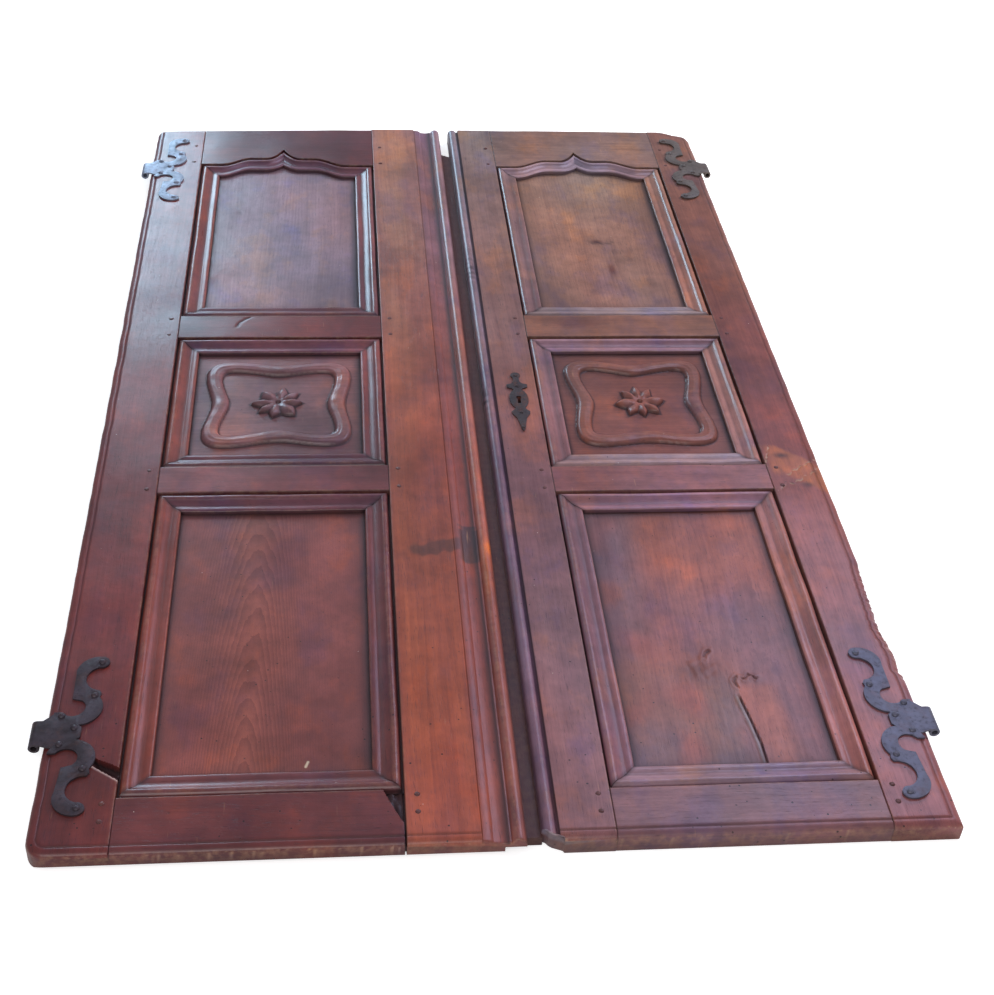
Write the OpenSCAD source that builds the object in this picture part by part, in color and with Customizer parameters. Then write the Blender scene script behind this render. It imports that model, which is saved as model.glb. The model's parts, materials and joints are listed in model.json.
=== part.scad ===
// A pair of frame-and-panel closet door leaves that lie side by side, front up.
// Millimetres. X runs across the pair, Y towards the tops, Z out of the front faces.
// Each leaf is drawn from its hinge edge (x = 0) and its foot (y = 0), then placed by place().

/* [Leaves] */
// Height of both leaves
leaf_h = 1885; // [1750:5:2050]
// Thickness of stiles and rails
leaf_t = 28; // [27:0.5:34]
// Width of the left leaf, with its moulded cover edge
left_leaf_w = 580; // [540:1:640]
// Width of the right leaf, without its tongue
right_leaf_w = 512; // [480:1:580]
// Gap between the leaves as they lie
reveal = 18; // [16:1:21]

/* [Stiles and rails] */
// Width of the left leaf's hinge stile
left_hinge_stile_w = 96; // [90:1:120]
// Width of the right leaf's hinge stile
right_hinge_stile_w = 86; // [84:1:110]
// Width of the left leaf's meeting stile
left_meeting_stile_w = 142; // [135:1:170]
// Width of the right leaf's meeting stile
right_meeting_stile_w = 89; // [88:1:110]
// Height of the bottom rails
bottom_rail_h = 83; // [75:1:110]
// Height of the lower middle rails
lower_rail_h = 62; // [60:1:90]
// Height of the upper middle rails
upper_rail_h = 68; // [60:1:90]
// Height of the top rails at the ends of the arch
top_rail_h = 165; // [150:1:200]
// How much lower the right leaf's two lower rails sit than the left's
right_rail_drop = 8; // [0:1:12]
// Length of the tenons
tenon_l = 56; // [40:1:62]
// Thickness of the tenons
tenon_t = 9; // [7:0.5:10]
// Height of the tenons above the back of the leaf
tenon_z = 8; // [7:0.5:9]
// How far the top rails' tenons stop below the leaf's top
tenon_haunch = 40; // [20:1:60]
// Clearance round a tenon in its mortise
tenon_gap = 0.2; // [0.1:0.05:0.4]

/* [Openings and panels] */
// Height of the middle openings of the left leaf
middle_opening_h = 358; // [320:1:380]
// Height of the top openings below the arch
top_opening_h = 569; // [500:1:620]
// Thickness of the panels
panel_t = 10; // [8:0.5:11]
// Height of the panels' front faces above the back of the leaf
panel_face_z = 16; // [15:0.5:18]
// Thickness of the panels' feathered edges
panel_edge_t = 6; // [4:0.5:7]
// How far a panel's edge reaches into its groove
panel_reach = 8; // [6:0.5:9]
// Width of the bevel on the back of a panel
panel_bevel_w = 40; // [25:1:50]
// Clearance of a panel in its groove
panel_gap = 0.3; // [0.2:0.05:0.5]

/* [Arched heads] */
// Rise of the arch's shoulders
shoulder_rise = 28; // [15:1:35]
// Rise of the pointed cusp above the shoulders
cusp_rise = 37; // [20:1:42]
// Half width of the cusp at its foot
cusp_half_w = 34; // [20:1:45]
// Half width of the level part of the shoulders
shoulder_half_w = 62; // [50:1:80]
// Length of the level ends of the arch
arch_end_l = 39; // [38:1:50]
// How far the left cusp stands towards the hinges
left_cusp_shift = 9; // [-15:1:15]
// How far the right cusp stands towards the hinges
right_cusp_shift = -2; // [-15:1:15]

/* [Panel mouldings] */
// Width of the mouldings round the panels
mould_w = 37.5; // [34:0.5:38]
// Height of the mouldings' outer round above the panel
mould_h = 11.5; // [9:0.5:12]
// Radius of the outer round
round_r = 7; // [5:0.5:7.5]
// Width of the dark quirk between frame and moulding
quirk_w = 2.5; // [1.5:0.5:4]
// Height of the valley between the two rounds
valley_h = 5.4; // [4:0.1:6]
// Height of the inner round
nose_h = 6.4; // [5:0.1:7]
// Height of the arris where the inner round ends over the panel
nose_edge_h = 5.2; // [2:0.1:6]

/* [Edges] */
// Distance of the scored line from the leaf's edge
edge_line_in = 12; // [9:0.5:15]
// Drop of the rounded edge from the line to the side
edge_drop = 6; // [3:0.5:8]
// Width of the left leaf's moulded cover edge
cover_w = 54; // [50:1:60]
// Radius of the bead on both meeting edges
bead_r = 9.5; // [8:0.5:10]
// Depth of the cove beside the left bead
cove_depth = 6; // [4:0.5:7]
// Width of the tongue that the cover edge laps
tongue_w = 24; // [22:1:28]
// Thickness of the tongue
tongue_t = 14; // [13.5:0.5:15]
// Play between the tongue's end and the left leaf's rebate when shut
lap_play = 2; // [1:0.5:4]
// How far the tongue stops below the leaf's top
tongue_short = 78; // [0:1:100]
// Clearance between the tongue's face and the cover edge
lap_gap = 0.5; // [0.3:0.1:1]

/* [Carved middle panels] */
// Clearance between the ribbon and the mouldings beside it
ribbon_side_gap = 17; // [10:1:30]
// Clearance between the ribbon and the mouldings above and below it
ribbon_end_gap = 27; // [10:1:30]
// Width of the ribbon as a share of half its frame
ribbon_share = 0.23; // [0.18:0.01:0.28]
// Height of the ribbon above the panel
ribbon_h = 7; // [4:0.5:9]
// Share by which the ribbon's sides are drawn in
ribbon_waist = 0.12; // [0:0.01:0.15]
// Radius of the rosette
rosette_r = 40; // [28:1:44]
// Height of the rosette above the panel
rosette_h = 8; // [5:0.5:9]

/* [Hinges] */
// Height of the left lower hinge above the foot
left_lower_hinge_y = 187; // [160:1:260]
// Height of the right lower hinge above the foot
right_lower_hinge_y = 172; // [160:1:260]
// Distance of the left upper hinge below the top
left_upper_hinge_down = 190; // [165:1:260]
// Distance of the right upper hinge below the top
right_upper_hinge_down = 170; // [165:1:260]
// Thickness of the hinge plates
plate_t = 3; // [2:0.25:4]
// Width of the neck and length of the eye
neck_w = 40; // [34:1:46]
// Radius of the bore in the eye
eye_bore_r = 4; // [3.5:0.25:6]
// Wall of the eye
eye_wall = 3; // [2.5:0.25:4]
// Gap between the eye and the side of the leaf
eye_gap = 4; // [1.5:0.25:5]
// Radius of the nails' shanks
nail_r = 1.8; // [1.2:0.1:2.2]
// Radius of the nails' domed heads
nail_head_r = 4.6; // [3.5:0.1:5.5]
// Length of the nails below the plate
nail_l = 17; // [12:1:18]

/* [Pegs] */
// Radius of the wooden pegs
peg_r = 4.5; // [3.5:0.25:5]
// Distance of the pegs from the joint line
peg_in = 15; // [14:0.5:20]
// How far the pegs stand proud
peg_proud = 0.8; // [0:0.1:1.5]

/* [Lock] */
// Height of the keyhole above the foot
keyhole_y = 893; // [860:1:930]
// Distance of the keyhole from the right leaf's meeting edge
keyhole_in = 57; // [52:1:60]
// Radius of the keyhole's round end
keyhole_r = 4.2; // [3.5:0.1:5]
// Length of the keyhole's slot below its round end
keyhole_slot_l = 16; // [12:1:18]
// Width of the keyhole's slot
keyhole_slot_w = 5; // [4.5:0.1:6]
// Thickness of the keyhole plate
escutcheon_t = 1.8; // [1.2:0.1:2.5]
// Width of the lock case
case_w = 71; // [68:0.5:72]
// Height of the lock case
case_h = 84; // [82:1:96]
// Depth of the lock case
case_d = 12; // [11:0.5:12]
// Wall of the lock case
case_wall = 1.5; // [1:0.25:2]
// Clearance of the case in its recess
case_gap = 0.2; // [0.1:0.05:0.4]
// Height of the bolt's section
bolt_h = 18; // [14:1:20]
// Thickness of the bolt
bolt_t = 6; // [4:0.5:6]
// Clearance of the bolt in its slots
bolt_gap = 0.2; // [0.1:0.05:0.3]
// Travel of the bolt
bolt_throw = 12; // [8:1:14]

/* [Wear] */
// Radius of the left leaf's worn bottom corner
worn_corner_r = 25; // [10:1:35]
// Opening of the joint at the left bottom rail
open_joint = 2; // [0.5:0.5:3]
// Depth of the gouges in the front
gouge_depth = 9; // [4:0.5:10]
// How far the left leaf's back edge is worn away at the foot
foot_wear = 7; // [0:0.5:7.5]

/* [Hidden] */
$fn = 48;
LEFT = 0;
RIGHT = 1;
SIDES = ["left", "right"];
ROWS = ["bottom", "middle", "top"];
WOOD = "#7a4438";
PANEL_WOOD = "#74453c";
MOULD_WOOD = "#6b3a34";
IRON = "#3c3840";
EPS = 1; // how far a cutter runs past what it cuts

leaf_w = [left_leaf_w, right_leaf_w];
hinge_stile_w = [left_hinge_stile_w, right_hinge_stile_w];
meeting_stile_w = [left_meeting_stile_w, right_meeting_stile_w];
cusp_shift = [left_cusp_shift, right_cusp_shift];
rail_drop = [0, right_rail_drop];
pair_w = left_leaf_w + reveal + right_leaf_w;

// Openings of a leaf
function opening_w(s) = leaf_w[s] - hinge_stile_w[s] - meeting_stile_w[s];
function meeting_x(s) = leaf_w[s] - meeting_stile_w[s];
top_y1 = leaf_h - top_rail_h;
top_y0 = top_y1 - top_opening_h;
middle_y1 = top_y0 - upper_rail_h;
function middle_y0(s) = middle_y1 - middle_opening_h - rail_drop[s];
function bottom_y1(s) = middle_y0(s) - lower_rail_h;
function bottom_y0(s) = bottom_rail_h - rail_drop[s];
function opening_y(s, row) =
    [[bottom_y0(s), bottom_y1(s)], [middle_y0(s), middle_y1], [top_y0, top_y1]][row];
function rail_y(s) =
    [[0, bottom_y0(s)], [bottom_y1(s), middle_y0(s)], [middle_y1, top_y0], [top_y1, leaf_h]];

// Arch over a top opening: level ends, a wave up to the shoulders, and a pointed cusp
function cusp_x(s) = opening_w(s) / 2 - cusp_shift[s];
function arch_foot(s) = min(cusp_x(s), opening_w(s) - cusp_x(s)) - arch_end_l;
function arch_rise(s, x, cusp = cusp_rise) =
    let (d = abs(x - cusp_x(s)), wave = (d - shoulder_half_w) / (arch_foot(s) - shoulder_half_w))
    d < cusp_half_w ? shoulder_rise + cusp * pow(1 - d / cusp_half_w, 2)
    : d < shoulder_half_w ? shoulder_rise
    : shoulder_rise * (1 + cos(180 * min(1, wave))) / 2;
ARCH_STEPS = 22; // stations on each side of the cusp
function arch_x(s, i, in = 0) =
    let (t = i / ARCH_STEPS, c = cusp_x(s))
    c + t * (t < 0 ? c - in : opening_w(s) - in - c);
function arch_points(s, up, in = 0) =
    [for (i = [-ARCH_STEPS:ARCH_STEPS]) let (x = arch_x(s, i, in)) [x, arch_rise(s, x) + up]];

// Section of a panel moulding: x from the frame inwards, y up from the panel's face
round_z = mould_h - round_r;
round_x = quirk_w + round_r;
round_end = 50; // angle at which the outer round runs into the hollow
hollow_x0 = round_x + round_r * sin(round_end);
hollow_z0 = round_z + round_r * cos(round_end);
nose_w = 11;
nose_x0 = mould_w - nose_w;
function hollow(t) =
    [hollow_x0 + (nose_x0 - hollow_x0) * t, valley_h + (hollow_z0 - valley_h) * pow(1 - t, 1.8)];
function nose(t) =
    [nose_x0 + nose_w * t, t < 0.6 ? valley_h + (nose_h - valley_h) * sin(150 * t)
    : nose_h - (nose_h - nose_edge_h) * pow((t - 0.6) / 0.4, 2)];
function mould_top() = concat(
    [[0, round_z]],
    [for (a = [-90:20:round_end]) [round_x + round_r * sin(a), round_z + round_r * cos(a)]],
    [for (t = [0:0.25:1]) hollow(t)],
    [for (t = [0.2:0.2:1]) nose(t)]);

// Section of the thumb moulding that is cut along the leaf's edge
function edge_cut_points() = concat(
    [[-EPS, leaf_t + EPS], [edge_line_in + 1.2, leaf_t + EPS], [edge_line_in + 1.2, leaf_t],
     [edge_line_in, leaf_t - 1.6]],
    [for (a = [0:15:90]) [(edge_line_in - 0.4) * (1 - sin(a)),
                          leaf_t - 0.4 - edge_drop * (1 - cos(a))]],
    [[-EPS, leaf_t - 0.4 - edge_drop]]);

// Places
hinge_y = [[left_lower_hinge_y, leaf_h - left_upper_hinge_down],
           [right_lower_hinge_y, leaf_h - right_upper_hinge_down]];
eye_r = eye_bore_r + eye_wall;
eye_x = -(eye_gap + eye_r);
eye_z = leaf_t + plate_t - eye_r;
bead_x = leaf_w[RIGHT] - bead_r;
lap_w = tongue_w + lap_play;
keyhole_x = leaf_w[RIGHT] - keyhole_in;
case_in = 4; // distance of the lock case from the leaf's side
case_up = 8; // how far the case's middle sits above the keyhole
case_x0 = leaf_w[RIGHT] - case_in - case_w;
case_y0 = keyhole_y - case_h / 2 + case_up;
bolt_up = 25; // how far the bolt runs above the keyhole
bolt_y = keyhole_y + bolt_up;
bolt_z = 3;
bolt_x0 = keyhole_x + 6;
notch_in = 8; // distance of the key's notch from the bolt's inner end
notch_r = 5;
bolt_end_x = leaf_w[RIGHT] + tongue_w;
cover_step = 1.3; // fillet between the flat front and the cover edge's round
cover_round_w = 12.7;
cover_lip = 10;
cover_t = 1.5;
tenon_shoulder = 2;
tenon_root = 20; // how far a tenon's block runs into its rail

// Outlines of the worn and broken places: the gouge is measured from the stile's inner edge, both
// tops from the leaf's top, the rail's gouge from the rail's end and top edge, and the broken foot
// from the side of the bead
chip_depth = 20;
chip_points = [[-EPS, 484], [2, 470], [6, 408], [7.5, 350], [6.5, 334], [2.5, 306], [0.5, 284],
               [3, 270], [3, 262], [-EPS, 254]];
left_top_points = [[-EPS, EPS], [-EPS, -34], [8, -20], [40, -17], [96, -15], [180, -12], [260, -9],
                   [meeting_x(LEFT) - 80, -5], [meeting_x(LEFT), -4], [meeting_x(LEFT), EPS]];
stile_gouge_points = [[-36, 149], [-24, 146], [EPS, 130], [EPS, 111], [-18, 124], [-35, 136]];
top_corner_points = [[56, EPS], [56, 0], [42, -4], [22, -17], [16, -19], [9, -16], [4, -22],
                     [0, -40], [-EPS, -40], [-EPS, EPS]];
rail_gouge_points = [[-23, EPS], [-14, -23], [-3, -47], [EPS, -52], [EPS, EPS]];
broken_foot_points = [[-27, -EPS], [-24, 3], [-12, 8], [-7, 13], [EPS, 19],
                      [tongue_w + EPS, 12], [tongue_w + EPS, -EPS]];
function carve_centre(s) =
    [hinge_stile_w[s] + opening_w(s) / 2, (middle_y0(s) + middle_y1) / 2];

LEAF_PARTS = ["hinge_stile", "meeting_stile", "bottom_rail", "lower_rail", "upper_rail", "top_rail",
              "bottom_panel", "middle_panel", "top_panel", "pegs",
              "lower_hinge", "upper_hinge", "hinge_nails"];
EDGES = ["hinge", "meeting", "foot", "head"];
LOCK_PARTS = ["escutcheon", "escutcheon_nails", "lock_case", "lock_cover", "lock_bolt",
              "lock_spring", "lock_nails"];
function leaf_node(s, part) = str(SIDES[s], "_", part);
function moulding_node(s, row, edge) = str(SIDES[s], "_", ROWS[row], "_moulding_", EDGES[edge]);

// Moves a leaf from its own frame to its place in the pair
module place(s) {
    translate([(s == LEFT ? -1 : 1) * pair_w / 2, -leaf_h / 2, 0])
        mirror([s, 0, 0])
            children();
}

// Carries a section in X and Z along Y, and one in Y and Z along X
module along_y(y0, y1) {
    translate([0, y1, 0])
        rotate([90, 0, 0])
            linear_extrude(y1 - y0)
                children();
}

module along_x(x0, x1) {
    translate([x0, 0, 0])
        rotate([90, 0, 90])
            linear_extrude(x1 - x0)
                children();
}

module block(low, high) {
    translate(low)
        cube(high - low);
}

// Thumb moulding along the hinge edge and the foot
module edge_cuts(s) {
    end_x = leaf_w[s] - (s == LEFT ? cover_w : 2 * bead_r);
    along_y(-EPS, leaf_h + EPS)
        polygon(edge_cut_points());
    along_x(-EPS, end_x)
        polygon(edge_cut_points());
}

// Outline of a panel, grown into its grooves
module panel_outline(s, row, grow) {
    y = opening_y(s, row);
    w = opening_w(s);
    if (row == 2) {
        polygon(concat([[w + grow, y[0] - grow], [-grow, y[0] - grow]],
                       arch_points(s, y[1] + grow, -grow)));
    } else {
        translate([-grow, y[0] - grow])
            square([w + 2 * grow, y[1] - y[0] + 2 * grow]);
    }
}

// The room that a panel's edge needs in stiles and rails
module panel_room(s, row) {
    translate([hinge_stile_w[s], 0, panel_face_z - panel_edge_t - panel_gap])
        linear_extrude(panel_edge_t + 2 * panel_gap)
            panel_outline(s, row, panel_reach + panel_gap);
}

module panel_rooms(s) {
    for (row = [0:2])
        panel_room(s, row);
}

// Tenons at both ends of a rail, grown by the clearance to cut the mortises
module tenons(s, rail, grow) {
    y = rail_y(s)[rail] + [tenon_shoulder, -(rail == 3 ? tenon_haunch : tenon_shoulder)];
    for (x = [[hinge_stile_w[s] - tenon_l, hinge_stile_w[s] + tenon_root],
              [meeting_x(s) - tenon_root, meeting_x(s) + tenon_l]])
        block([x[0] - grow, y[0] - grow, tenon_z - grow],
              [x[1] + grow, y[1] + grow, tenon_z + tenon_t + grow]);
}

module mortises(s) {
    for (rail = [0:3])
        tenons(s, rail, tenon_gap);
}

// Pegs through the tenons, one near each edge of a rail
peg_edge = 9;
function peg_places(s) =
    let (r = rail_y(s), x = [hinge_stile_w[s] - peg_in, meeting_x(s) + peg_in])
    [for (px = x) for (py = [
        r[0][1] - 36, r[0][1] - peg_edge, r[1][0] + peg_edge, r[1][1] - peg_edge,
        r[2][0] + peg_edge, r[2][1] - peg_edge, r[3][0] + peg_edge, r[3][1] - 85]) [px, py]];

module peg_set(s, grow, z0, z1) {
    for (p = peg_places(s))
        translate([p[0], p[1], z0])
            cylinder(h = z1 - z0, r = peg_r + grow);
}

peg_gap = 0.05;
peg_z0 = 4;

module peg_holes(s) {
    peg_set(s, peg_gap, peg_z0, leaf_t + EPS);
}

// Nail places of one hinge, from its neck's centre
nail_places = [[17.5, 28], [20, -20], [35, 7], [54, 62], [53, -60], [57, 121], [53, -121]];

nail_gap = 0.05;

module nail_holes(y) {
    for (p = nail_places)
        translate([p[0], y + p[1], leaf_t - nail_l])
            cylinder(h = nail_l + plate_t + EPS, r = nail_r + nail_gap);
}

module hinge_nail_holes(s) {
    for (y = hinge_y[s])
        nail_holes(y);
}

// Stile that carries the hinges
module hinge_stile(s) {
    color(WOOD)
        difference() {
            block([0, 0, 0], [hinge_stile_w[s], leaf_h, leaf_t]);
            edge_cuts(s);
            panel_rooms(s);
            mortises(s);
            peg_holes(s);
            hinge_nail_holes(s);
            if (s == LEFT) {
                worn_corner();
                worn_foot();
                worn_top();
                stile_gouge();
            } else {
                worn_top_corner();
                chipped_edge();
            }
        }
}

module worn_corner() {
    difference() {
        block([-EPS, -EPS, -EPS], [worn_corner_r, worn_corner_r, leaf_t + EPS]);
        translate([worn_corner_r, worn_corner_r, -2 * EPS])
            cylinder(h = leaf_t + 4 * EPS, r = worn_corner_r);
    }
}

// The left leaf's back edge is worn at the foot, and its top towards the hinges
module worn_foot() {
    along_x(-EPS, left_leaf_w + EPS)
        polygon([[-EPS, -EPS], [foot_wear + EPS, -EPS], [-EPS, foot_wear + EPS]]);
}

module worn_top() {
    translate([0, leaf_h, -EPS])
        linear_extrude(leaf_t + 2 * EPS)
            polygon(left_top_points);
}

module stile_gouge() {
    translate([left_hinge_stile_w, 0, leaf_t - gouge_depth])
        linear_extrude(gouge_depth + EPS)
            polygon(stile_gouge_points);
}

module worn_top_corner() {
    translate([0, leaf_h, -EPS])
        linear_extrude(leaf_t + 2 * EPS)
            polygon(top_corner_points);
}

module chipped_edge() {
    translate([0, 0, leaf_t - chip_depth])
        linear_extrude(chip_depth + EPS)
            polygon(chip_points);
}

// Section of the left meeting stile with its cover strip, of which the stile is the part between
// x0 and x1, and the strip the rest
module left_meeting_section(x0, x1) {
    intersection() {
        polygon(left_meeting_points());
        rectangle([[x0, -EPS], [x1, leaf_t + EPS]]);
    }
}

function left_meeting_points() =
    let (x0 = meeting_x(LEFT),
         w = leaf_w[LEFT],
         step_x = w - cover_w,
         cove_z = leaf_t - cove_depth,
         cove_x = step_x + cover_step + cover_round_w,
         bead_c = w - bead_r - 0.5)
    concat(
        [[x0, 0], [x0, leaf_t], [step_x, leaf_t], [step_x + cover_step, leaf_t - cover_step]],
        [for (a = [0:15:90]) [step_x + cover_step + cover_round_w * sin(a),
                              cove_z + (cove_depth - cover_step) * cos(a)]],
        [for (t = [0.2:0.2:1]) [cove_x + (bead_c - bead_r - 1 - cove_x) * t, cove_z - sin(180 * t)]],
        [for (a = [-70:20:90]) [bead_c + bead_r * sin(a),
                                leaf_t - bead_r + bead_r * cos(a)]],
        [[w, leaf_t - bead_r - 1], [w, tongue_t + lap_gap], [w - lap_w, tongue_t + lap_gap],
         [w - lap_w, 0]]);

// Stile at the middle of the pair, and the strip on its edge that covers the other leaf's tongue
module left_meeting_stile() {
    color(WOOD)
        difference() {
            along_y(0, leaf_h)
                left_meeting_section(0, left_leaf_w - lap_w);
            edge_cuts(LEFT);
            panel_rooms(LEFT);
            mortises(LEFT);
            peg_holes(LEFT);
            bolt_pocket();
            worn_foot();
        }
}

module left_cover_strip() {
    color(WOOD)
        along_y(0, leaf_h)
            left_meeting_section(left_leaf_w - lap_w, left_leaf_w + EPS);
}

// Pocket in the shoulder of the cover edge that takes the thrown bolt when the leaves are shut
module bolt_pocket() {
    x = leaf_w[LEFT] - lap_w;
    block([x - bolt_throw, bolt_y - bolt_h / 2 - 1, bolt_z - 1],
          [x + EPS, bolt_y + bolt_h / 2 + 1, bolt_z + bolt_t + 1]);
}

module right_meeting_stile() {
    x0 = meeting_x(RIGHT);
    w = leaf_w[RIGHT];
    section = concat(
        [[x0, 0], [x0, leaf_t], [bead_x - bead_r - 2, leaf_t], [bead_x - bead_r - 0.5, leaf_t - 2.2]],
        [for (a = [-60:15:90]) [bead_x + bead_r * sin(a), leaf_t - bead_r + bead_r * cos(a)]],
        [[w, tongue_t], [w, 0]]);
    color(WOOD)
        difference() {
            union() {
                along_y(0, leaf_h)
                    polygon(section);
                tongue();
            }
            edge_cuts(RIGHT);
            panel_rooms(RIGHT);
            mortises(RIGHT);
            peg_holes(RIGHT);
            lock_recess();
            keyhole(0, leaf_t + EPS);
            escutcheon_nail_holes();
            broken_foot();
        }
}

module tongue() {
    w = leaf_w[RIGHT];
    y1 = leaf_h - tongue_short;
    linear_extrude(tongue_t)
        polygon([[w - EPS, 4], [w + tongue_w, 8], [w + tongue_w, y1], [w - EPS, y1 - 22]]);
}

module broken_foot() {
    translate([leaf_w[RIGHT], 0, -EPS])
        linear_extrude(leaf_t + 2 * EPS)
            polygon(broken_foot_points);
}

// Rails between the stiles
module rail(s, i) {
    y = rail_y(s)[i];
    x1 = meeting_x(s) - (s == LEFT && i == 0 ? open_joint : 0);
    color(WOOD)
        difference() {
            union() {
                if (i == 3)
                    top_rail_body(s);
                else
                    block([hinge_stile_w[s], y[0], 0], [x1, y[1], leaf_t]);
                tenons(s, i, 0);
            }
            edge_cuts(s);
            panel_rooms(s);
            peg_holes(s);
            hinge_nail_holes(s);
            if (s == LEFT && i == 0) {
                rail_gouge();
                worn_foot();
            }
            if (s == LEFT && i == 3)
                worn_top();
        }
}

module top_rail_body(s) {
    translate([hinge_stile_w[s], 0, 0])
        linear_extrude(leaf_t)
            polygon(concat([[opening_w(s), leaf_h], [0, leaf_h]], arch_points(s, top_y1)));
}

module rail_gouge() {
    translate([meeting_x(LEFT) - open_joint, bottom_rail_h, tenon_z + tenon_t])
        linear_extrude(leaf_t)
            polygon(rail_gouge_points);
}

// Panels, flush at the front and bevelled at the back
module panel(s, row) {
    y = opening_y(s, row);
    w = opening_w(s);
    edge_z = panel_face_z - panel_edge_t;
    back_z = panel_face_z - panel_t;
    high = row == 2 ? shoulder_rise : 0;
    translate([hinge_stile_w[s], 0, 0]) {
        translate([0, 0, edge_z])
            linear_extrude(panel_edge_t)
                panel_outline(s, row, panel_reach);
        intersection() {
            along_y(y[0], y[1] + high)
                bevel_section(0, w, edge_z, back_z);
            along_x(0, w)
                bevel_section(y[0], y[1] + high, edge_z, back_z);
            translate([0, 0, back_z])
                linear_extrude(panel_t)
                    panel_outline(s, row, 0);
        }
    }
}

module bevel_section(a, b, edge_z, back_z) {
    polygon([[a, edge_z + EPS], [a, edge_z], [a + panel_bevel_w, back_z], [b - panel_bevel_w, back_z],
             [b, edge_z], [b, edge_z + EPS]]);
}

module plain_panel(s, row) {
    color(PANEL_WOOD)
        panel(s, row);
}

module carved_panel(s) {
    c = carve_centre(s);
    color(PANEL_WOOD)
        union() {
            panel(s, 1);
            translate([c[0], c[1], panel_face_z]) {
                ribbon(s);
                rosette();
            }
        }
}

// Ribbon: a rounded band between two squares with drawn-in sides. The outer square has rounder
// corners than the inner one. Both are given as radii over the angle, for a half width near 1.
RIBBON_STEPS = 72;
RIBBON_SINK = 1;
OUTER_CORNER = 6;
INNER_CORNER = 10;
function square_r(a, corner, waist) =
    (1 - waist * pow(cos(2 * a), 2))
    / pow(pow(abs(cos(a)), corner) + pow(abs(sin(a)), corner), 1 / corner);
function outer_r(a) = square_r(a, OUTER_CORNER, ribbon_waist);
function inner_r(a) = (1 - ribbon_share) * square_r(a, INNER_CORNER, 1.3 * ribbon_waist);
ribbon_reach = max([for (a = [0:5:45]) outer_r(a) * cos(a)]);
function ribbon_scale(s) =
    [opening_w(s) / 2 - mould_w - ribbon_side_gap,
     (middle_y1 - middle_y0(s)) / 2 - mould_w - ribbon_end_gap] / ribbon_reach;
ribbon_section = concat(
    [[1, -RIBBON_SINK]],
    [for (a = [0:30:180]) [0.5 + 0.5 * cos(a), ribbon_h * sin(a)]],
    [[0, -RIBBON_SINK]]);

module ribbon(s) {
    m = len(ribbon_section);
    n = RIBBON_STEPS;
    points = [for (i = [0:n - 1])
        let (a = 360 * (i + 0.5) / n, size = ribbon_scale(s))
        for (p = ribbon_section)
            let (r = inner_r(a) + (outer_r(a) - inner_r(a)) * p[0])
            [size[0] * r * cos(a), size[1] * r * sin(a), p[1]]];
    faces = [for (i = [0:n - 1]) for (j = [0:m - 1])
        let (a = i * m + j, b = i * m + (j + 1) % m, c = (i + 1) % n * m + j,
             d = (i + 1) % n * m + (j + 1) % m)
        for (f = [[a, b, c], [b, d, c]]) f];
    polyhedron(points, faces, convexity = 6);
}

// Rosette: eight pointed petals round a sunk eye
ROSETTE_STEPS = 64;
ROSETTE_EYE = 0.3; // height of the eye's bottom as a share of the rosette's
ROSETTE_RINGS = [0.12, 0.3, 0.55, 0.8, 1];
ROSETTE_LIFT = [0.45, 0.85, 1, 0.85, 0.3];
PETALS = 8;
function petal(a) = pow(abs(cos(PETALS * a / 2)), 1.4);
function rosette_point(a, k) =
    let (r = rosette_r * ROSETTE_RINGS[k] * (1 - 0.3 * ROSETTE_RINGS[k] * (1 - petal(a))),
         z = rosette_h * ROSETTE_LIFT[k] * (1 - 0.45 * ROSETTE_RINGS[k] * (1 - petal(a))))
    [r * cos(a), r * sin(a), z];

module rosette() {
    n = ROSETTE_STEPS;
    m = len(ROSETTE_RINGS);
    rings = [for (k = [0:m - 1]) for (i = [0:n - 1]) rosette_point(360 * i / n, k)];
    foot = [for (i = [0:n - 1])
        let (p = rosette_point(360 * i / n, m - 1)) [p[0], p[1], -RIBBON_SINK]];
    points = concat(rings, foot, [[0, 0, rosette_h * ROSETTE_EYE], [0, 0, -RIBBON_SINK]]);
    top = n * (m + 1);
    faces = concat(
        [for (k = [0:m - 1]) for (i = [0:n - 1])
            let (j = (i + 1) % n, a = k * n + i, b = k * n + j, c = a + n, d = b + n)
            for (f = [[a, b, c], [b, d, c]]) f],
        [for (i = [0:n - 1]) [top, (i + 1) % n, i]],
        [for (i = [0:n - 1]) [top + 1, m * n + i, m * n + (i + 1) % n]]);
    polyhedron(points, faces, convexity = 6);
}

// Mouldings round a panel: straight strips with mitred ends
module moulding_section() {
    polygon(concat([[0, 0]], mould_top(), [[mould_w, 0]]));
}

// A strip whose frame side lies along X from 0 to l, with the panel towards +Y
module mitred_strip(l) {
    color(MOULD_WOOD)
        difference() {
            along_x(0, l)
                moulding_section();
            for (m = [0, 1])
                translate([m * l, 0, -EPS])
                    mirror([m, 0, 0])
                        linear_extrude(mould_h + 2 * EPS)
                            polygon([[-EPS, -EPS], [mould_w + EPS, mould_w + EPS],
                                     [-EPS, mould_w + EPS]]);
        }
}

module moulding(s, row, edge) {
    y = opening_y(s, row);
    w = opening_w(s);
    h = y[1] - y[0];
    translate([hinge_stile_w[s], y[0], panel_face_z]) {
        if (edge == 0)
            translate([0, h, 0])
                rotate(-90)
                    mitred_strip(h);
        if (edge == 1)
            translate([w, 0, 0])
                rotate(90)
                    mitred_strip(h);
        if (edge == 2)
            mitred_strip(w);
        if (edge == 3 && row < 2)
            translate([w, h, 0])
                rotate(180)
                    mitred_strip(w);
        if (edge == 3 && row == 2)
            translate([0, h, 0])
                arched_strip(s);
    }
}

// The arched strip: the same section along the arch, shrunk between the two mitres
arch_gap = 0.1; // clearance between the strip and the arched rail

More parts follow.
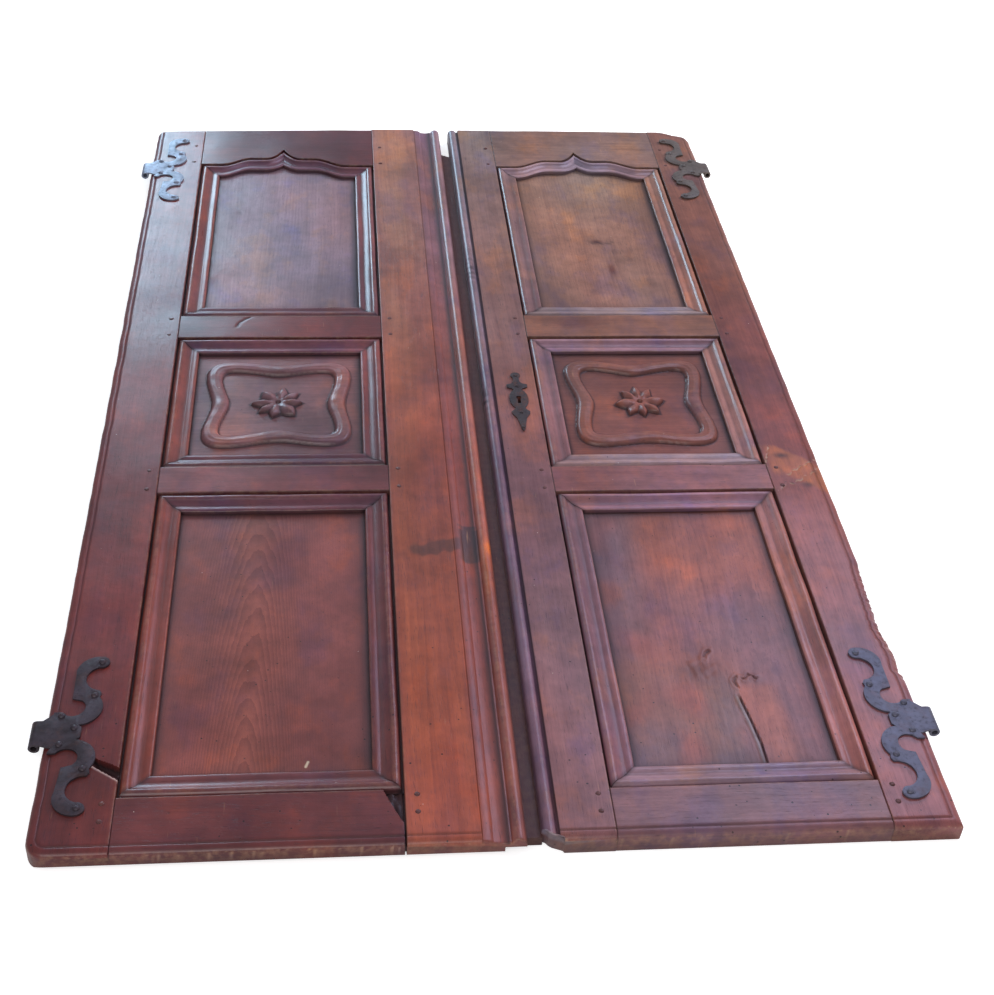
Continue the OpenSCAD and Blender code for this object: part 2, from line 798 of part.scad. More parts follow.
module arched_strip(s) {
    section = concat([[0, 0]], mould_top(), [[mould_w, 0]]);
    m = len(section);
    n = 2 * ARCH_STEPS + 1;
    points = [for (i = [-ARCH_STEPS:ARCH_STEPS]) for (p = section)
        let (soft = cusp_rise * (1 - 0.5 * p[0] / mould_w))
        [arch_x(s, i, p[0]), arch_rise(s, arch_x(s, i), soft) - max(p[0], arch_gap), p[1]]];
    faces = concat(
        [for (i = [0:n - 2]) for (j = [0:m - 1])
            let (a = i * m + j, b = i * m + (j + 1) % m, c = a + m, d = b + m)
            for (f = [[a, c, b], [b, c, d]]) f],
        [[for (j = [0:m - 1]) j], [for (j = [m - 1:-1:0]) (n - 1) * m + j]]);
    color(MOULD_WOOD)
        polyhedron(points, faces, convexity = 6);
}

module pegs(s) {
    color(WOOD)
        peg_set(s, 0, peg_z0, leaf_t + peg_proud);
}

// Scroll hinge: a rolled eye, a neck, and two S-shaped limbs. Each limb is two curls, which are
// discs less their hollows and the rectangles that open them, a bar between, and a round tip.
inner_curl = [36, 42];
inner_curl_r = 30;
inner_hollow = [30, 42];
inner_hollow_r = 15;
inner_mouths = [[[-10, 34], [30, 57]], [[-10, 56], [27, 86]]];
outer_curl = [54, 104];
outer_curl_r = 27.5;
outer_hollow = [61, 92];
outer_hollow_r = 21;
outer_mouth = [[52, 72.5], [112, 111.5]];
tip_mouth = [[59, 72], [99, 142]];
bar_points = [[27, 57.5], [38, 54], [60, 58], [62, 66], [58, 73], [48, 80]];
bar_end = [[40, 106], [27, 106]];
tip = [57, 121.5];
tip_r = 9.5;
neck_half_w = neck_w / 2;
neck_upper = [[eye_x, neck_half_w], [-4, neck_half_w], [10, 33], [19, 33], [44, 8]];
neck_lower = [[44, -8], [24, -26], [12, -26], [-4, -neck_half_w], [eye_x, -neck_half_w]];

module rectangle(corners) {
    translate(corners[0])
        square(corners[1] - corners[0]);
}

module scroll_limb(lean = 0) {
    difference() {
        translate(inner_curl)
            circle(r = inner_curl_r);
        translate(inner_hollow)
            circle(r = inner_hollow_r);
        for (mouth = inner_mouths)
            rectangle(mouth);
    }
    difference() {
        union() {
            translate(outer_curl + [lean, 0])
                circle(r = outer_curl_r);
            polygon(concat(bar_points, [for (p = bar_end) p + [lean, 0]]));
        }
        translate(outer_hollow + [lean, 0])
            circle(r = outer_hollow_r);
        rectangle(outer_mouth);
        translate([lean, 0])
            rectangle(tip_mouth);
    }
    translate(tip + [lean, 0])
        circle(r = tip_r);
}

lower_lean = -4; // the lower limb stands a little nearer the leaf's edge

module hinge_outline() {
    scroll_limb();
    mirror([0, 1, 0])
        scroll_limb(lower_lean);
    polygon(concat(neck_upper, neck_lower));
}

module hinge(y) {
    color(IRON)
        difference() {
            translate([0, y, 0])
                union() {
                    translate([0, 0, leaf_t])
                        linear_extrude(plate_t)
                            hinge_outline();
                    translate([eye_x, -neck_w / 2, eye_z])
                        rotate([-90, 0, 0])
                            cylinder(h = neck_w, r = eye_r);
                }
            translate([eye_x, y - neck_w / 2 - EPS, eye_z])
                rotate([-90, 0, 0])
                    cylinder(h = neck_w + 2 * EPS, r = eye_bore_r);
            nail_holes(y);
        }
}

// Nail with a domed head: shank from the given place down, head above
module nail(x, y, z, l, r, head_r) {
    ball_r = head_r * 1.25;
    translate([x, y, z])
        union() {
            translate([0, 0, -l])
                cylinder(h = l, r = r);
            intersection() {
                translate([0, 0, head_r * 0.6 - ball_r])
                    sphere(r = ball_r);
                cylinder(h = head_r, r = head_r);
            }
        }
}

module hinge_nails(s) {
    color(IRON)
        for (y = hinge_y[s])
            for (p = nail_places)
                nail(p[0], y + p[1], leaf_t + plate_t, nail_l + plate_t, nail_r, nail_head_r);
}

// Keyhole, cut from z0 to z1
keyhole_up = 6; // how far the round end sits above the plate's middle

module keyhole(z0, z1) {
    translate([keyhole_x, keyhole_y + keyhole_up, z0]) {
        cylinder(h = z1 - z0, r = keyhole_r);
        translate([-keyhole_slot_w / 2, -keyhole_slot_l, 0])
            cube([keyhole_slot_w, keyhole_slot_l, z1 - z0]);
    }
}

// Keyhole plate: finial, cross bar, oval body and a tapering tail, as one half mirrored
escutcheon_half = concat(
    [for (a = [90:-20:-50]) [8 * cos(a), 70 + 8 * sin(a)]],
    [[5, 52], [9, 46], [17, 43], [16.5, 35], [9, 32], [6, 27]],
    [for (a = [60:-15:-60]) [15.5 * cos(a), 2 + 28 * sin(a)]],
    [[10, -28], [15, -33], [14, -40], [8, -50], [5, -66], [3.5, -78], [0, -86]]);
escutcheon_outline = concat(
    escutcheon_half,
    [for (i = [len(escutcheon_half) - 2:-1:1]) [-escutcheon_half[i][0], escutcheon_half[i][1]]]);
escutcheon_nail_ys = [68, 38, -36, -76];
small_nail_r = 1.2;
small_nail_l = 10;

module escutcheon_nail_holes() {
    for (dy = escutcheon_nail_ys)
        translate([keyhole_x, keyhole_y + dy, leaf_t - small_nail_l])
            cylinder(h = small_nail_l + escutcheon_t + EPS, r = small_nail_r + nail_gap);
}

module escutcheon() {
    color(IRON)
        difference() {
            translate([keyhole_x, keyhole_y, leaf_t])
                linear_extrude(escutcheon_t)
                    polygon(escutcheon_outline);
            keyhole(leaf_t - EPS, leaf_t + escutcheon_t + EPS);
            escutcheon_nail_holes();
        }
}

module escutcheon_nails() {
    color(IRON)
        for (dy = escutcheon_nail_ys)
            nail(keyhole_x, keyhole_y + dy, leaf_t + escutcheon_t, small_nail_l + escutcheon_t,
                 small_nail_r, 3);
}

// Lock, let in from the back
module lock_recess() {
    g = case_gap;
    block([case_x0 - g, case_y0 - g, -EPS], [case_x0 + case_w + g, case_y0 + case_h + g, case_d + g]);
    block([case_x0 - g, case_y0 - cover_lip - g, -EPS],
          [case_x0 + case_w + g, case_y0 + case_h + cover_lip + g, cover_t]);
    bolt_slot(bolt_gap);
    lock_nail_set(nail_gap);
}

module bolt_slot(g) {
    block([case_x0 + case_w - case_wall - EPS, bolt_y - bolt_h / 2 - g, bolt_z - g],
          [bolt_end_x + EPS, bolt_y + bolt_h / 2 + g, bolt_z + bolt_t + g]);
}

module lock_case() {
    t = case_wall;
    color(IRON)
        difference() {
            block([case_x0, case_y0, cover_t], [case_x0 + case_w, case_y0 + case_h, case_d]);
            block([case_x0 + t, case_y0 + t, 0],
                  [case_x0 + case_w - t, case_y0 + case_h - t, case_d - t]);
            bolt_slot(bolt_gap);
            keyhole(0, case_d + EPS);
        }
}

module lock_nail_set(grow) {
    for (x = [case_x0 + cover_lip, case_x0 + case_w - cover_lip])
        for (y = [case_y0 - cover_lip / 2, case_y0 + case_h + cover_lip / 2])
            translate([x, y, grow > 0 ? -EPS : 0])
                cylinder(h = nail_l + (grow > 0 ? EPS : 0), r = nail_r + grow);
}

module lock_cover() {
    color(IRON)
        difference() {
            block([case_x0, case_y0 - cover_lip, 0],
                  [case_x0 + case_w, case_y0 + case_h + cover_lip, cover_t]);
            lock_nail_set(nail_gap);
        }
}

// Bolt with a notch for the key's bit and a stop for the spring
module lock_bolt() {
    color(IRON)
        difference() {
            block([bolt_x0, bolt_y - bolt_h / 2, bolt_z],
                  [bolt_end_x, bolt_y + bolt_h / 2, bolt_z + bolt_t]);
            translate([bolt_x0 + notch_in, bolt_y - bolt_h / 2, bolt_z - EPS])
                cylinder(h = bolt_t + 2 * EPS, r = notch_r);
        }
}

// Leaf spring between the case's upper wall and the bolt
spring_gap = 0.3;
spring_t = 1.2;
spring_in = 14; // distance of the spring from the case's inner end
spring_foot_l = 8;
spring_slant_l = 30;

module lock_spring() {
    t = spring_t;
    y0 = bolt_y + bolt_h / 2 + spring_gap;
    y1 = case_y0 + case_h - case_wall;
    x0 = case_x0 + spring_in;
    x1 = x0 + spring_foot_l;
    x2 = x1 + spring_slant_l;
    x3 = x2 + spring_foot_l;
    color(IRON)
        translate([0, 0, bolt_z + 1])
            linear_extrude(bolt_t - 2)
                polygon([[x0, y1], [x0, y1 - t], [x1, y1 - t], [x2, y0], [x3, y0],
                         [x3, y0 + t], [x2 + t / 2, y0 + t], [x1 + t / 2, y1]]);
}

module lock_nails() {
    color(IRON)
        lock_nail_set(0);
}

module leaf_part(s, part) {
    if (part == "hinge_stile") hinge_stile(s);
    if (part == "meeting_stile" && s == LEFT) left_meeting_stile();
    if (part == "meeting_stile" && s == RIGHT) right_meeting_stile();
    if (part == "bottom_rail") rail(s, 0);
    if (part == "lower_rail") rail(s, 1);
    if (part == "upper_rail") rail(s, 2);
    if (part == "top_rail") rail(s, 3);
    if (part == "bottom_panel") plain_panel(s, 0);
    if (part == "middle_panel") carved_panel(s);
    if (part == "top_panel") plain_panel(s, 2);
    if (part == "pegs") pegs(s);
    if (part == "lower_hinge") hinge(hinge_y[s][0]);
    if (part == "upper_hinge") hinge(hinge_y[s][1]);
    if (part == "hinge_nails") hinge_nails(s);
}

for (s = [LEFT, RIGHT]) {
    for (part = LEAF_PARTS)
        place(s) leaf_part(s, part);
    for (row = [0:2])
        for (edge = [0:3])
            place(s) moulding(s, row, edge);
}
place(LEFT) left_cover_strip();
place(RIGHT) escutcheon();
place(RIGHT) escutcheon_nails();
place(RIGHT) lock_case();
place(RIGHT) lock_cover();
place(RIGHT) lock_bolt();
place(RIGHT) lock_spring();
place(RIGHT) lock_nails();
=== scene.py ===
"""Dresses a packed pair of old closet door leaves: waxed wood, carved panels, forged hinges, a stage."""

import json
import math

import bmesh
import bpy
import numpy as np
from mathutils import Matrix, Vector

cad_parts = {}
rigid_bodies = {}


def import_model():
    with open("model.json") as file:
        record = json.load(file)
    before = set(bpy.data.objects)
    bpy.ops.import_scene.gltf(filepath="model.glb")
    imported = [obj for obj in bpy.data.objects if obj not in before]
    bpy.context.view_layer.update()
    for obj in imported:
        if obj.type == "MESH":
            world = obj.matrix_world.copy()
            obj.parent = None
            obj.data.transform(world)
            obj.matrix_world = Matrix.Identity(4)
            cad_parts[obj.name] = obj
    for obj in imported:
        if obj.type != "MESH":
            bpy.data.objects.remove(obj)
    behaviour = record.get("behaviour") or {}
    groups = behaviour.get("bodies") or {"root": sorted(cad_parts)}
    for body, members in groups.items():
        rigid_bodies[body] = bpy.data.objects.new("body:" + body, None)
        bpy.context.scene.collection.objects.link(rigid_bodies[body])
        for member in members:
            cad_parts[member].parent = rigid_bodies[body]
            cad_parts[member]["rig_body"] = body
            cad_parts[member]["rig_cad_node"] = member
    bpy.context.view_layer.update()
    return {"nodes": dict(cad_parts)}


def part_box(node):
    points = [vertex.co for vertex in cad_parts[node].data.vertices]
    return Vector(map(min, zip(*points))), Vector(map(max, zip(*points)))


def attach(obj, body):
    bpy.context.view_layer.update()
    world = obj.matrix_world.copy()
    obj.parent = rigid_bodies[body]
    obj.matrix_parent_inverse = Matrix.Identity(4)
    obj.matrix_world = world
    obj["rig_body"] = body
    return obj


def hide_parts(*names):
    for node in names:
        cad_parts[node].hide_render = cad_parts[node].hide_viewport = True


bl_info = {
    "name": "Old closet door pair",
    "version": (1, 0, 0),
    "blender": (4, 5, 0),
    "location": "View3D > Sidebar > Closet door",
    "description": "Builds the looks of a pair of panelled closet door leaves on their packed model",
    "category": "Add Mesh",
}

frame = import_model()

MM = 0.001
BODY = "leaves"
ROWS = ("bottom", "middle", "top")
EDGES = ("hinge", "meeting", "foot", "head")
RAILS = ("bottom_rail", "lower_rail", "upper_rail", "top_rail")


# Settings that a user would change

class WoodSettings(bpy.types.PropertyGroup):
    """Colours, year rings and polish of the wood"""

    early_wood: bpy.props.FloatVectorProperty(
        name="Early wood", description="Colour of the lighter part of each year ring",
        subtype="COLOR", size=3, min=0, max=1, default=(0.245, 0.075, 0.047))
    late_wood: bpy.props.FloatVectorProperty(
        name="Late wood", description="Colour of the darker part of each year ring",
        subtype="COLOR", size=3, min=0, max=1, default=(0.125, 0.034, 0.024))
    # Grime also colours the painted shade that the soil layer lays in quirks, hollows and recesses.
    grime_and_shade: bpy.props.FloatVectorProperty(
        name="Grime", description="Colour of old wax and dirt in quirks and corners",
        subtype="COLOR", size=3, min=0, max=1, default=(0.017, 0.008, 0.010))
    worn_wood: bpy.props.FloatVectorProperty(
        name="Worn wood", description="Colour of the wood where the stain is rubbed through",
        subtype="COLOR", size=3, min=0, max=1, default=(0.46, 0.24, 0.13))
    ring_width: bpy.props.FloatProperty(
        name="Ring width", description="Width of one year ring", subtype="DISTANCE",
        min=0.001, max=0.02, default=0.006)
    gloss_roughness: bpy.props.FloatProperty(
        name="Roughness", description="Roughness of the waxed surface",
        subtype="FACTOR", min=0.05, max=1, default=0.34)


class IronSettings(bpy.types.PropertyGroup):
    """Colours and edges of the forged iron"""

    dark: bpy.props.FloatVectorProperty(
        name="Dark iron", description="Colour of the forged iron where it is dirty",
        subtype="COLOR", size=3, min=0, max=1, default=(0.035, 0.026, 0.030))
    # The bluish bright iron is partly a painted reflection of the windows on the right leaf's lower iron.
    bright: bpy.props.FloatVectorProperty(
        name="Bright iron", description="Colour of the forged iron where it is rubbed",
        subtype="COLOR", size=3, min=0, max=1, default=(0.185, 0.185, 0.235))
    edge_round: bpy.props.FloatProperty(
        name="Edge rounding", description="Width of the plates' hammered edges, in millimetres",
        min=0.2, max=1.4, default=1.1)


class DoorSettings(bpy.types.PropertyGroup):
    """Shape of the arched heads, and how uneven the boards are"""

    left_cusp_shift: bpy.props.FloatProperty(
        name="Left cusp shift", default=9,
        description="How far the left arch's cusp stands towards the hinges, in millimetres")
    right_cusp_shift: bpy.props.FloatProperty(
        name="Right cusp shift", default=-2,
        description="How far the right arch's cusp stands towards the hinges, in millimetres")
    shoulder_rise: bpy.props.FloatProperty(
        name="Shoulder rise", description="Rise of the arch's shoulders, in millimetres", default=28)
    cusp_rise: bpy.props.FloatProperty(
        name="Cusp rise", description="Rise of the cusp above the shoulders, in millimetres", default=37)
    cusp_half_w: bpy.props.FloatProperty(
        name="Cusp half width", description="Half width of the cusp at its foot, in millimetres", default=34)
    shoulder_half_w: bpy.props.FloatProperty(
        name="Shoulder half width", description="Half width of the arch's level shoulders, in millimetres",
        default=62)
    arch_end: bpy.props.FloatProperty(
        name="Arch end", description="Length of the arch's level ends, in millimetres", default=39)
    unevenness: bpy.props.FloatProperty(
        name="Unevenness", description="How far old boards wander from flat, in millimetres",
        min=0, max=1, default=0.3)


class StageSettings(bpy.types.PropertyGroup):
    """Camera and floor"""

    camera_place: bpy.props.FloatVectorProperty(
        name="Camera", description="Place of the camera", subtype="TRANSLATION", size=3,
        default=(-0.1859, -2.1119, 1.4784))
    camera_turn: bpy.props.FloatVectorProperty(
        name="Camera turn", description="Turns about X, Y and Z from the room to the camera",
        subtype="EULER", size=3, default=(2.2461, -0.0982, -0.0129))
    focal_pixels: bpy.props.FloatProperty(
        name="Focal length", description="Focal length in pixels of the photograph", default=1561.7)
    picture_side: bpy.props.FloatProperty(
        name="Picture side", description="Long side of the photograph in pixels", default=995)
    floor_colour: bpy.props.FloatVectorProperty(
        name="Floor", description="Colour of the floor", subtype="COLOR", size=3, default=(0.86, 0.86, 0.87))


# Small helpers for grids, shapes and tints

NEAR_EDGE = np.array([0, 0.3, 0.8, 1.5, 2.6, 4.5])  # grid lines next to an edge, in millimetres from it


def waves(x, y, seed, length, count=12):
    """Smooth unevenness of about -1 to 1: sine waves of random direction, phase and length, added up."""
    rng = np.random.default_rng(seed)
    total = 0.0
    for turn, phase, stretch in rng.uniform(0, 1, (count, 3)):
        wave = 2 * math.pi / (length * (0.6 + stretch))
        along = x * math.cos(2 * math.pi * turn) + y * math.sin(2 * math.pi * turn)
        total = total + np.sin(wave * along + 2 * math.pi * phase)
    return total / math.sqrt(count)


def smooth(t):
    """Soft step: 0 below 0, 1 above 1, and a cubic between."""
    t = np.clip(t, 0, 1)
    return t * t * (3 - 2 * t)


def hump(x, y, centre, radii):
    """Soft round spot: 1 at its centre, falling off like a bell with the two radii."""
    return np.exp(-((x - centre[0]) / radii[0]) ** 2 - ((y - centre[1]) / radii[1]) ** 2)


def bell(d, reach):
    """1 where d is 0, falling off like a bell with the reach."""
    return np.exp(-(d / reach) ** 2)


def blend(tint, share, colour):
    """Lays a share of another colour over a tint."""
    share = share[..., None]
    return tint * (1 - share) + share * np.array(colour)


def lean(tint, share, change):
    """Raises or lowers a tint's red, green and blue by a share of a change."""
    return tint * (1 + share[..., None] * np.array(change))


def round_drop(d, r):
    """How far a quarter-round arris of radius r drops at distance d from the edge."""
    inside = np.clip(r - d, 0, r)
    return r - np.sqrt(np.maximum(r * r - inside * inside, 0))


def inner_distance(x, y, x_range, y_range):
    """Distance from each place to the nearest side of a rectangle round it."""
    return np.minimum(np.minimum(x - x_range[0], x_range[1] - x), np.minimum(y - y_range[0], y_range[1] - y))


def lines(low, high, step, near=NEAR_EDGE):
    """Grid lines from low to high: close together next to both ends, then about one step apart."""
    near = np.asarray(near, float)
    count = max(2, int(round((high - low - 2 * near[-1]) / step)) + 1)
    middle = np.linspace(low + near[-1], high - near[-1], count)[1:-1]
    return np.concatenate([low + near, middle, (high - near)[::-1]])


def path_distance(x, y, points):
    """Distance from each place to a line through the points: the least over its pieces, each from the
    nearest point of the piece."""
    best = np.full(np.broadcast(x, y).shape, 1e9)
    for (ax, ay), (bx, by) in zip(points[:-1], points[1:]):
        dx, dy = bx - ax, by - ay
        t = np.clip(((x - ax) * dx + (y - ay) * dy) / (dx * dx + dy * dy), 0, 1)
        best = np.minimum(best, np.hypot(x - ax - t * dx, y - ay - t * dy))
    return best


def with_lines(base, extra, least=0.04):
    """Adds grid lines and sorts them, dropping any that is no further than the least from the one before."""
    both = np.sort(np.concatenate([base, np.asarray(extra, float)]))
    return both[np.concatenate([[True], np.diff(both) > least])]


def follow(places, across, along):
    """Row by row, the values of along at other places across."""
    return np.stack([np.interp(place, row, value) for place, row, value in zip(places, across, along)])


def padded(values, shape, extra, fill):
    """Values over a front's grid, with one value for the extra points behind it."""
    return np.concatenate([np.broadcast_to(values, shape), np.full((shape[0], extra), fill)], axis=1)


class Leaf:
    """One leaf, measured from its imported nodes. Its own frame, in millimetres, has x from the hinge
    edge, y from the foot and z from the back; world() takes it to the room, in metres."""

    def __init__(self, side, seed):
        self.side = side
        self.seed = seed
        self.outward = -1 if side == "left" else 1
        low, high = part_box(side + "_hinge_stile")
        self.edge = (low.x if side == "left" else high.x) / MM
        self.thick = high.z / MM
        self.hinge_w = (high.x - low.x) / MM
        low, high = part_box(side + "_meeting_stile")
        self.foot = low.y / MM
        self.height = (high.y - low.y) / MM
        self.meeting_x = self.span("meeting_stile")[0]
        self.end_x = self.span("cover_strip" if side == "left" else "meeting_stile")[1]
        self.rails = [self.span(name)[2:] for name in RAILS]
        self.rails[3] = (self.rails[3][0], self.height)
        self.opening_w = self.meeting_x - self.hinge_w
        self.openings = [(self.rails[i][1], self.rails[i + 1][0]) for i in range(3)]
        panel_low, panel_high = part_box(side + "_bottom_panel")
        self.panel_z = panel_high.z / MM
        self.panel_back = panel_low.z / MM

    def span(self, part):
        """Lowest and highest x, lowest and highest y of a node, in the leaf's own frame."""
        low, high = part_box(self.side + "_" + part)
        xs = sorted(-self.outward * (x / MM - self.edge) for x in (low.x, high.x))
        return xs[0], xs[1], low.y / MM - self.foot, high.y / MM - self.foot

    def world(self, points):
        """Takes points from the leaf's own frame to the room."""
        out = np.array(points, float)
        out[..., 0] = self.edge - self.outward * out[..., 0]
        out[..., 1] += self.foot
        return out * MM

    def cusp_x(self):
        """Place of the arch's cusp, from the opening's hinge side."""
        door = bpy.context.scene.door_settings
        return self.opening_w / 2 - (door.left_cusp_shift if self.side == "left" else door.right_cusp_shift)

    def arch(self, x, sharp=1.0):
        """Rise of the arched head at x from the opening's hinge side: level ends, a cosine wave up to
        the shoulders, and a cusp that rises with the square of the way to its middle."""
        door = bpy.context.scene.door_settings
        cusp_x = self.cusp_x()
        foot = min(cusp_x, self.opening_w - cusp_x) - door.arch_end
        d = np.abs(x - cusp_x)
        wave = np.clip((d - door.shoulder_half_w) / (foot - door.shoulder_half_w), 0, 1)
        base = door.shoulder_rise * (1 + np.cos(math.pi * wave)) / 2
        return base + sharp * door.cusp_rise * np.clip(1 - d / door.cusp_half_w, 0, 1) ** 2

    def top_wear(self, x):
        """How far the leaf's top is worn down at x: the left leaf's sinks towards the hinges."""
        if self.side == "right":
            return 0.0 * x
        return np.interp(x, [0, 8, 40, 96, 180, 260, self.meeting_x - 80, self.meeting_x, self.meeting_x + 1],
                         [34, 20, 17, 15, 12, 9, 5, 4, 0])

    def back_rise(self, y):
        """How far the back edge is worn away at the foot of the left leaf."""
        return np.maximum(FOOT_WEAR - y, 0) if self.side == "left" else 0.0 * y


FOOT_WEAR = 7.0
LEAVES = [Leaf("left", 11), Leaf("right", 47)]


# Meshes and their surface data

class Shell:
    """A closed surface swept from rings: points (rings, around, 3) with its grain, wear, dirt and painted
    shade, and tint.
    """

    def __init__(self, points, grain, wear, soil, tint):
        self.points, self.grain, self.wear, self.soil, self.tint = points, grain, wear, soil, tint

    def faces(self, start):
        """Quads between the rings and a cap at each end, over points numbered from start."""
        n, k = self.points.shape[:2]
        a = np.arange(n * k).reshape(n, k) + start
        b = np.roll(a, -1, axis=1)
        quads = np.stack([a[:-1], a[1:], b[1:], b[:-1]], axis=-1).reshape(-1, 4)
        return quads.tolist() + [a[0].tolist(), a[-1][::-1].tolist()]

    def volume(self):
        """Six times the enclosed volume, with its sign, from the quads alone about the points' mean."""
        p = self.points - self.points.reshape(-1, 3).mean(axis=0)
        a, b = p[:-1], p[1:]
        c, d = np.roll(b, -1, axis=1), np.roll(a, -1, axis=1)
        return np.sum(np.cross(a, b) * c) + np.sum(np.cross(a, c) * d)


# The soil layer holds real dirt, and painted shade in quirks, hollows and recesses.
LAYERS = {"grain": "FLOAT_VECTOR", "wear": "FLOAT", "soil": "FLOAT", "tint": "FLOAT_VECTOR"}


def make_object(name, shells, material, smooth_angle=38):
    """One object from closed shells, with faces turned outwards and the surface data as attributes."""
    points, faces, start = [], [], 0
    data = {key: [] for key in LAYERS}
    for shell in shells:
        own = shell.faces(start)
        faces += [face[::-1] for face in own] if shell.volume() < 0 else own
        points.append(shell.points.reshape(-1, 3))
        start += len(points[-1])
        for key, kind in LAYERS.items():
            shape = shell.points.shape if kind == "FLOAT_VECTOR" else shell.points.shape[:2]
            data[key].append(np.broadcast_to(getattr(shell, key), shape).ravel())
    mesh = bpy.data.meshes.new(name)
    mesh.from_pydata(np.concatenate(points).tolist(), [], faces)
    for key, kind in LAYERS.items():
        layer = mesh.attributes.new(key, kind, "POINT")
        field = "vector" if kind == "FLOAT_VECTOR" else "value"
        layer.data.foreach_set(field, np.concatenate(data[key]).astype(np.float32))
    mesh.shade_smooth()
    mesh.set_sharp_from_angle(angle=math.radians(smooth_angle))
    mesh.materials.append(material)
    obj = bpy.data.objects.new(name, mesh)
    bpy.context.scene.collection.objects.link(obj)
    return obj


def stand_for(obj, slot, *nodes):
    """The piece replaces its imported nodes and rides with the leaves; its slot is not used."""
    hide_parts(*nodes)
    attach(obj, BODY)


def grain_of(along, across, depth, seed, slope=0.03, pith=(0.0, 0.05), wander=0.006, squeeze=1.0):
    """Place in the log, in metres: the way along the fibres, and the way across and down from the
    pith, which climbs slowly along the board so that the rings show as long arches."""
    rng = np.random.default_rng(seed)
    start = rng.uniform(0, 9)
    bend = wander * np.sin((along * MM + start) * rng.uniform(2, 4))
    return np.stack(np.broadcast_arrays(
        along * MM + start,
        (across * MM - pith[0] + bend) * squeeze,
        depth * MM + pith[1] + slope * along * MM), axis=-1)


BACK_BEVEL = 0.8
BACK_Z = np.array([BACK_BEVEL, 0.0, 0.0, BACK_BEVEL])  # heights of a board's back, between its bevels


def board_rings(leaf, axis, stations, across, top, under, grain_args, wear, soil, tint):
    """Closed rings of a board: its front as heights over a grid, its sides and its back as a few
    points below. Stations run along the board's length, which is Y or X, one for each ring or one
    for each point."""
    if under is None:
        low, high = across[:, :1], across[:, -1:]
        back = np.concatenate([high, high - BACK_BEVEL, low + BACK_BEVEL, low], axis=1)
        under = (back, np.broadcast_to(BACK_Z, back.shape))
    back_across, back_z = under
    a = np.concatenate([across, back_across], axis=1)
    z = np.concatenate([top, back_z], axis=1)
    if stations.ndim == 1:
        s = np.broadcast_to(stations[:, None], a.shape)
    else:
        s = np.concatenate([stations, follow(back_across, across, stations)], axis=1)
    x, y = (a, s) if axis == "y" else (s, a)
    extra = back_across.shape[1]
    behind = np.broadcast_to(np.mean(tint, axis=(0, 1)), (len(a), extra, 3))
    grain = grain_of(s, a - np.mean(across), z, **grain_args)
    return Shell(leaf.world(np.stack([x, y, z], axis=-1)), grain, padded(wear, across.shape, extra, 0.25),
                 padded(soil, across.shape, extra, 0.3), np.concatenate([tint, behind], axis=1))


# The leaves' frame members

LINE_IN = 12.0  # the scored line's distance from the leaf's edge
THUMB_DROP = 6.0
FRONT_ROUND = 1.4
TOP_ROUND = 2.5
THUMB_LINES = np.array([0, 0.25, 0.7, 1.4, 2.4, 4, 6, 8.5, 10.7, 11.5, 12.0, 12.6, 13.4, 15.5])  # grid lines
TOP_LINES = np.array([0, 0.3, 0.8, 1.6, 2.8, 4.5])  # grid lines below the leaf's top


def thumb_drop(d):
    """Drop of the thumb moulding at distance d from the leaf's edge: a quarter ellipse up to the
    scored line, a narrow V along the line, and nothing inside it."""
    reach = LINE_IN - 0.4
    ellipse = 0.4 + THUMB_DROP * (1 - np.sqrt(np.maximum(1 - (1 - np.clip(d / reach, 0, 1)) ** 2, 0)))
    groove = 1.0 * np.clip(1 - np.abs(d - LINE_IN) / 1.8, 0, 1)
    return np.where(d < reach, ellipse, 0) + groove


# Tones: factors of red, green and blue, set by comparing each board's mean colour with the photograph's
# The bluer factors also carry painted sheen of the windows on the wax, over the wood's tone.
TONES_AND_SHEEN = {
    "left_hinge_stile": (0.84, 0.46, 0.58), "left_meeting_stile": (1.60, 1.18, 1.0),
    "left_bottom_rail": (0.70, 0.50, 0.74), "left_lower_rail": (0.97, 0.72, 1.0),
    "left_upper_rail": (0.64, 0.28, 0.32), "left_top_rail": (0.52, 0.26, 0.38),
    "right_hinge_stile": (1.18, 1.0, 1.3), "right_meeting_stile": (1.12, 1.45, 2.3),
    "right_bottom_rail": (1.15, 1.65, 2.7), "right_lower_rail": (1.30, 1.48, 2.6),
    "right_upper_rail": (1.28, 1.52, 1.9), "right_top_rail": (1.21, 1.53, 2.42),
}


# Broad areas along the stiles: the middle, the reach and the colour factor of each
# The lighter, bluer areas are painted sheen of the windows on the wax; the darker ones are painted shade.
SHEEN_AND_SHADE_AREAS = {
    "left_meeting_stile": [(1600, 480, (0.90, 1.32, 1.65))],
    "right_hinge_stile": [(250, 330, (1.24, 1.55, 1.85)), (920, 260, (0.85, 0.74, 0.80)),
                          (1500, 400, (0.92, 1.04, 1.10))],
    "right_meeting_stile": [(230, 260, (1.06, 1.14, 1.20)), (700, 260, (0.84, 0.84, 1.0)),
                            (1480, 480, (1.14, 1.27, 1.42))],
}
# Change towards the top: on the left leaf a painted bluish sheen of the far window, on the right a browner
# tone.
TOP_SHEEN_AND_TONE = {"left": (-0.10, 0.25, 0.60), "right": (-0.02, 0.22, -0.12)}
RIGHT_TOP = (-0.06, 0.12, 0.22)
FRESH_SPECK = (2.4, 4.6, 4.4)


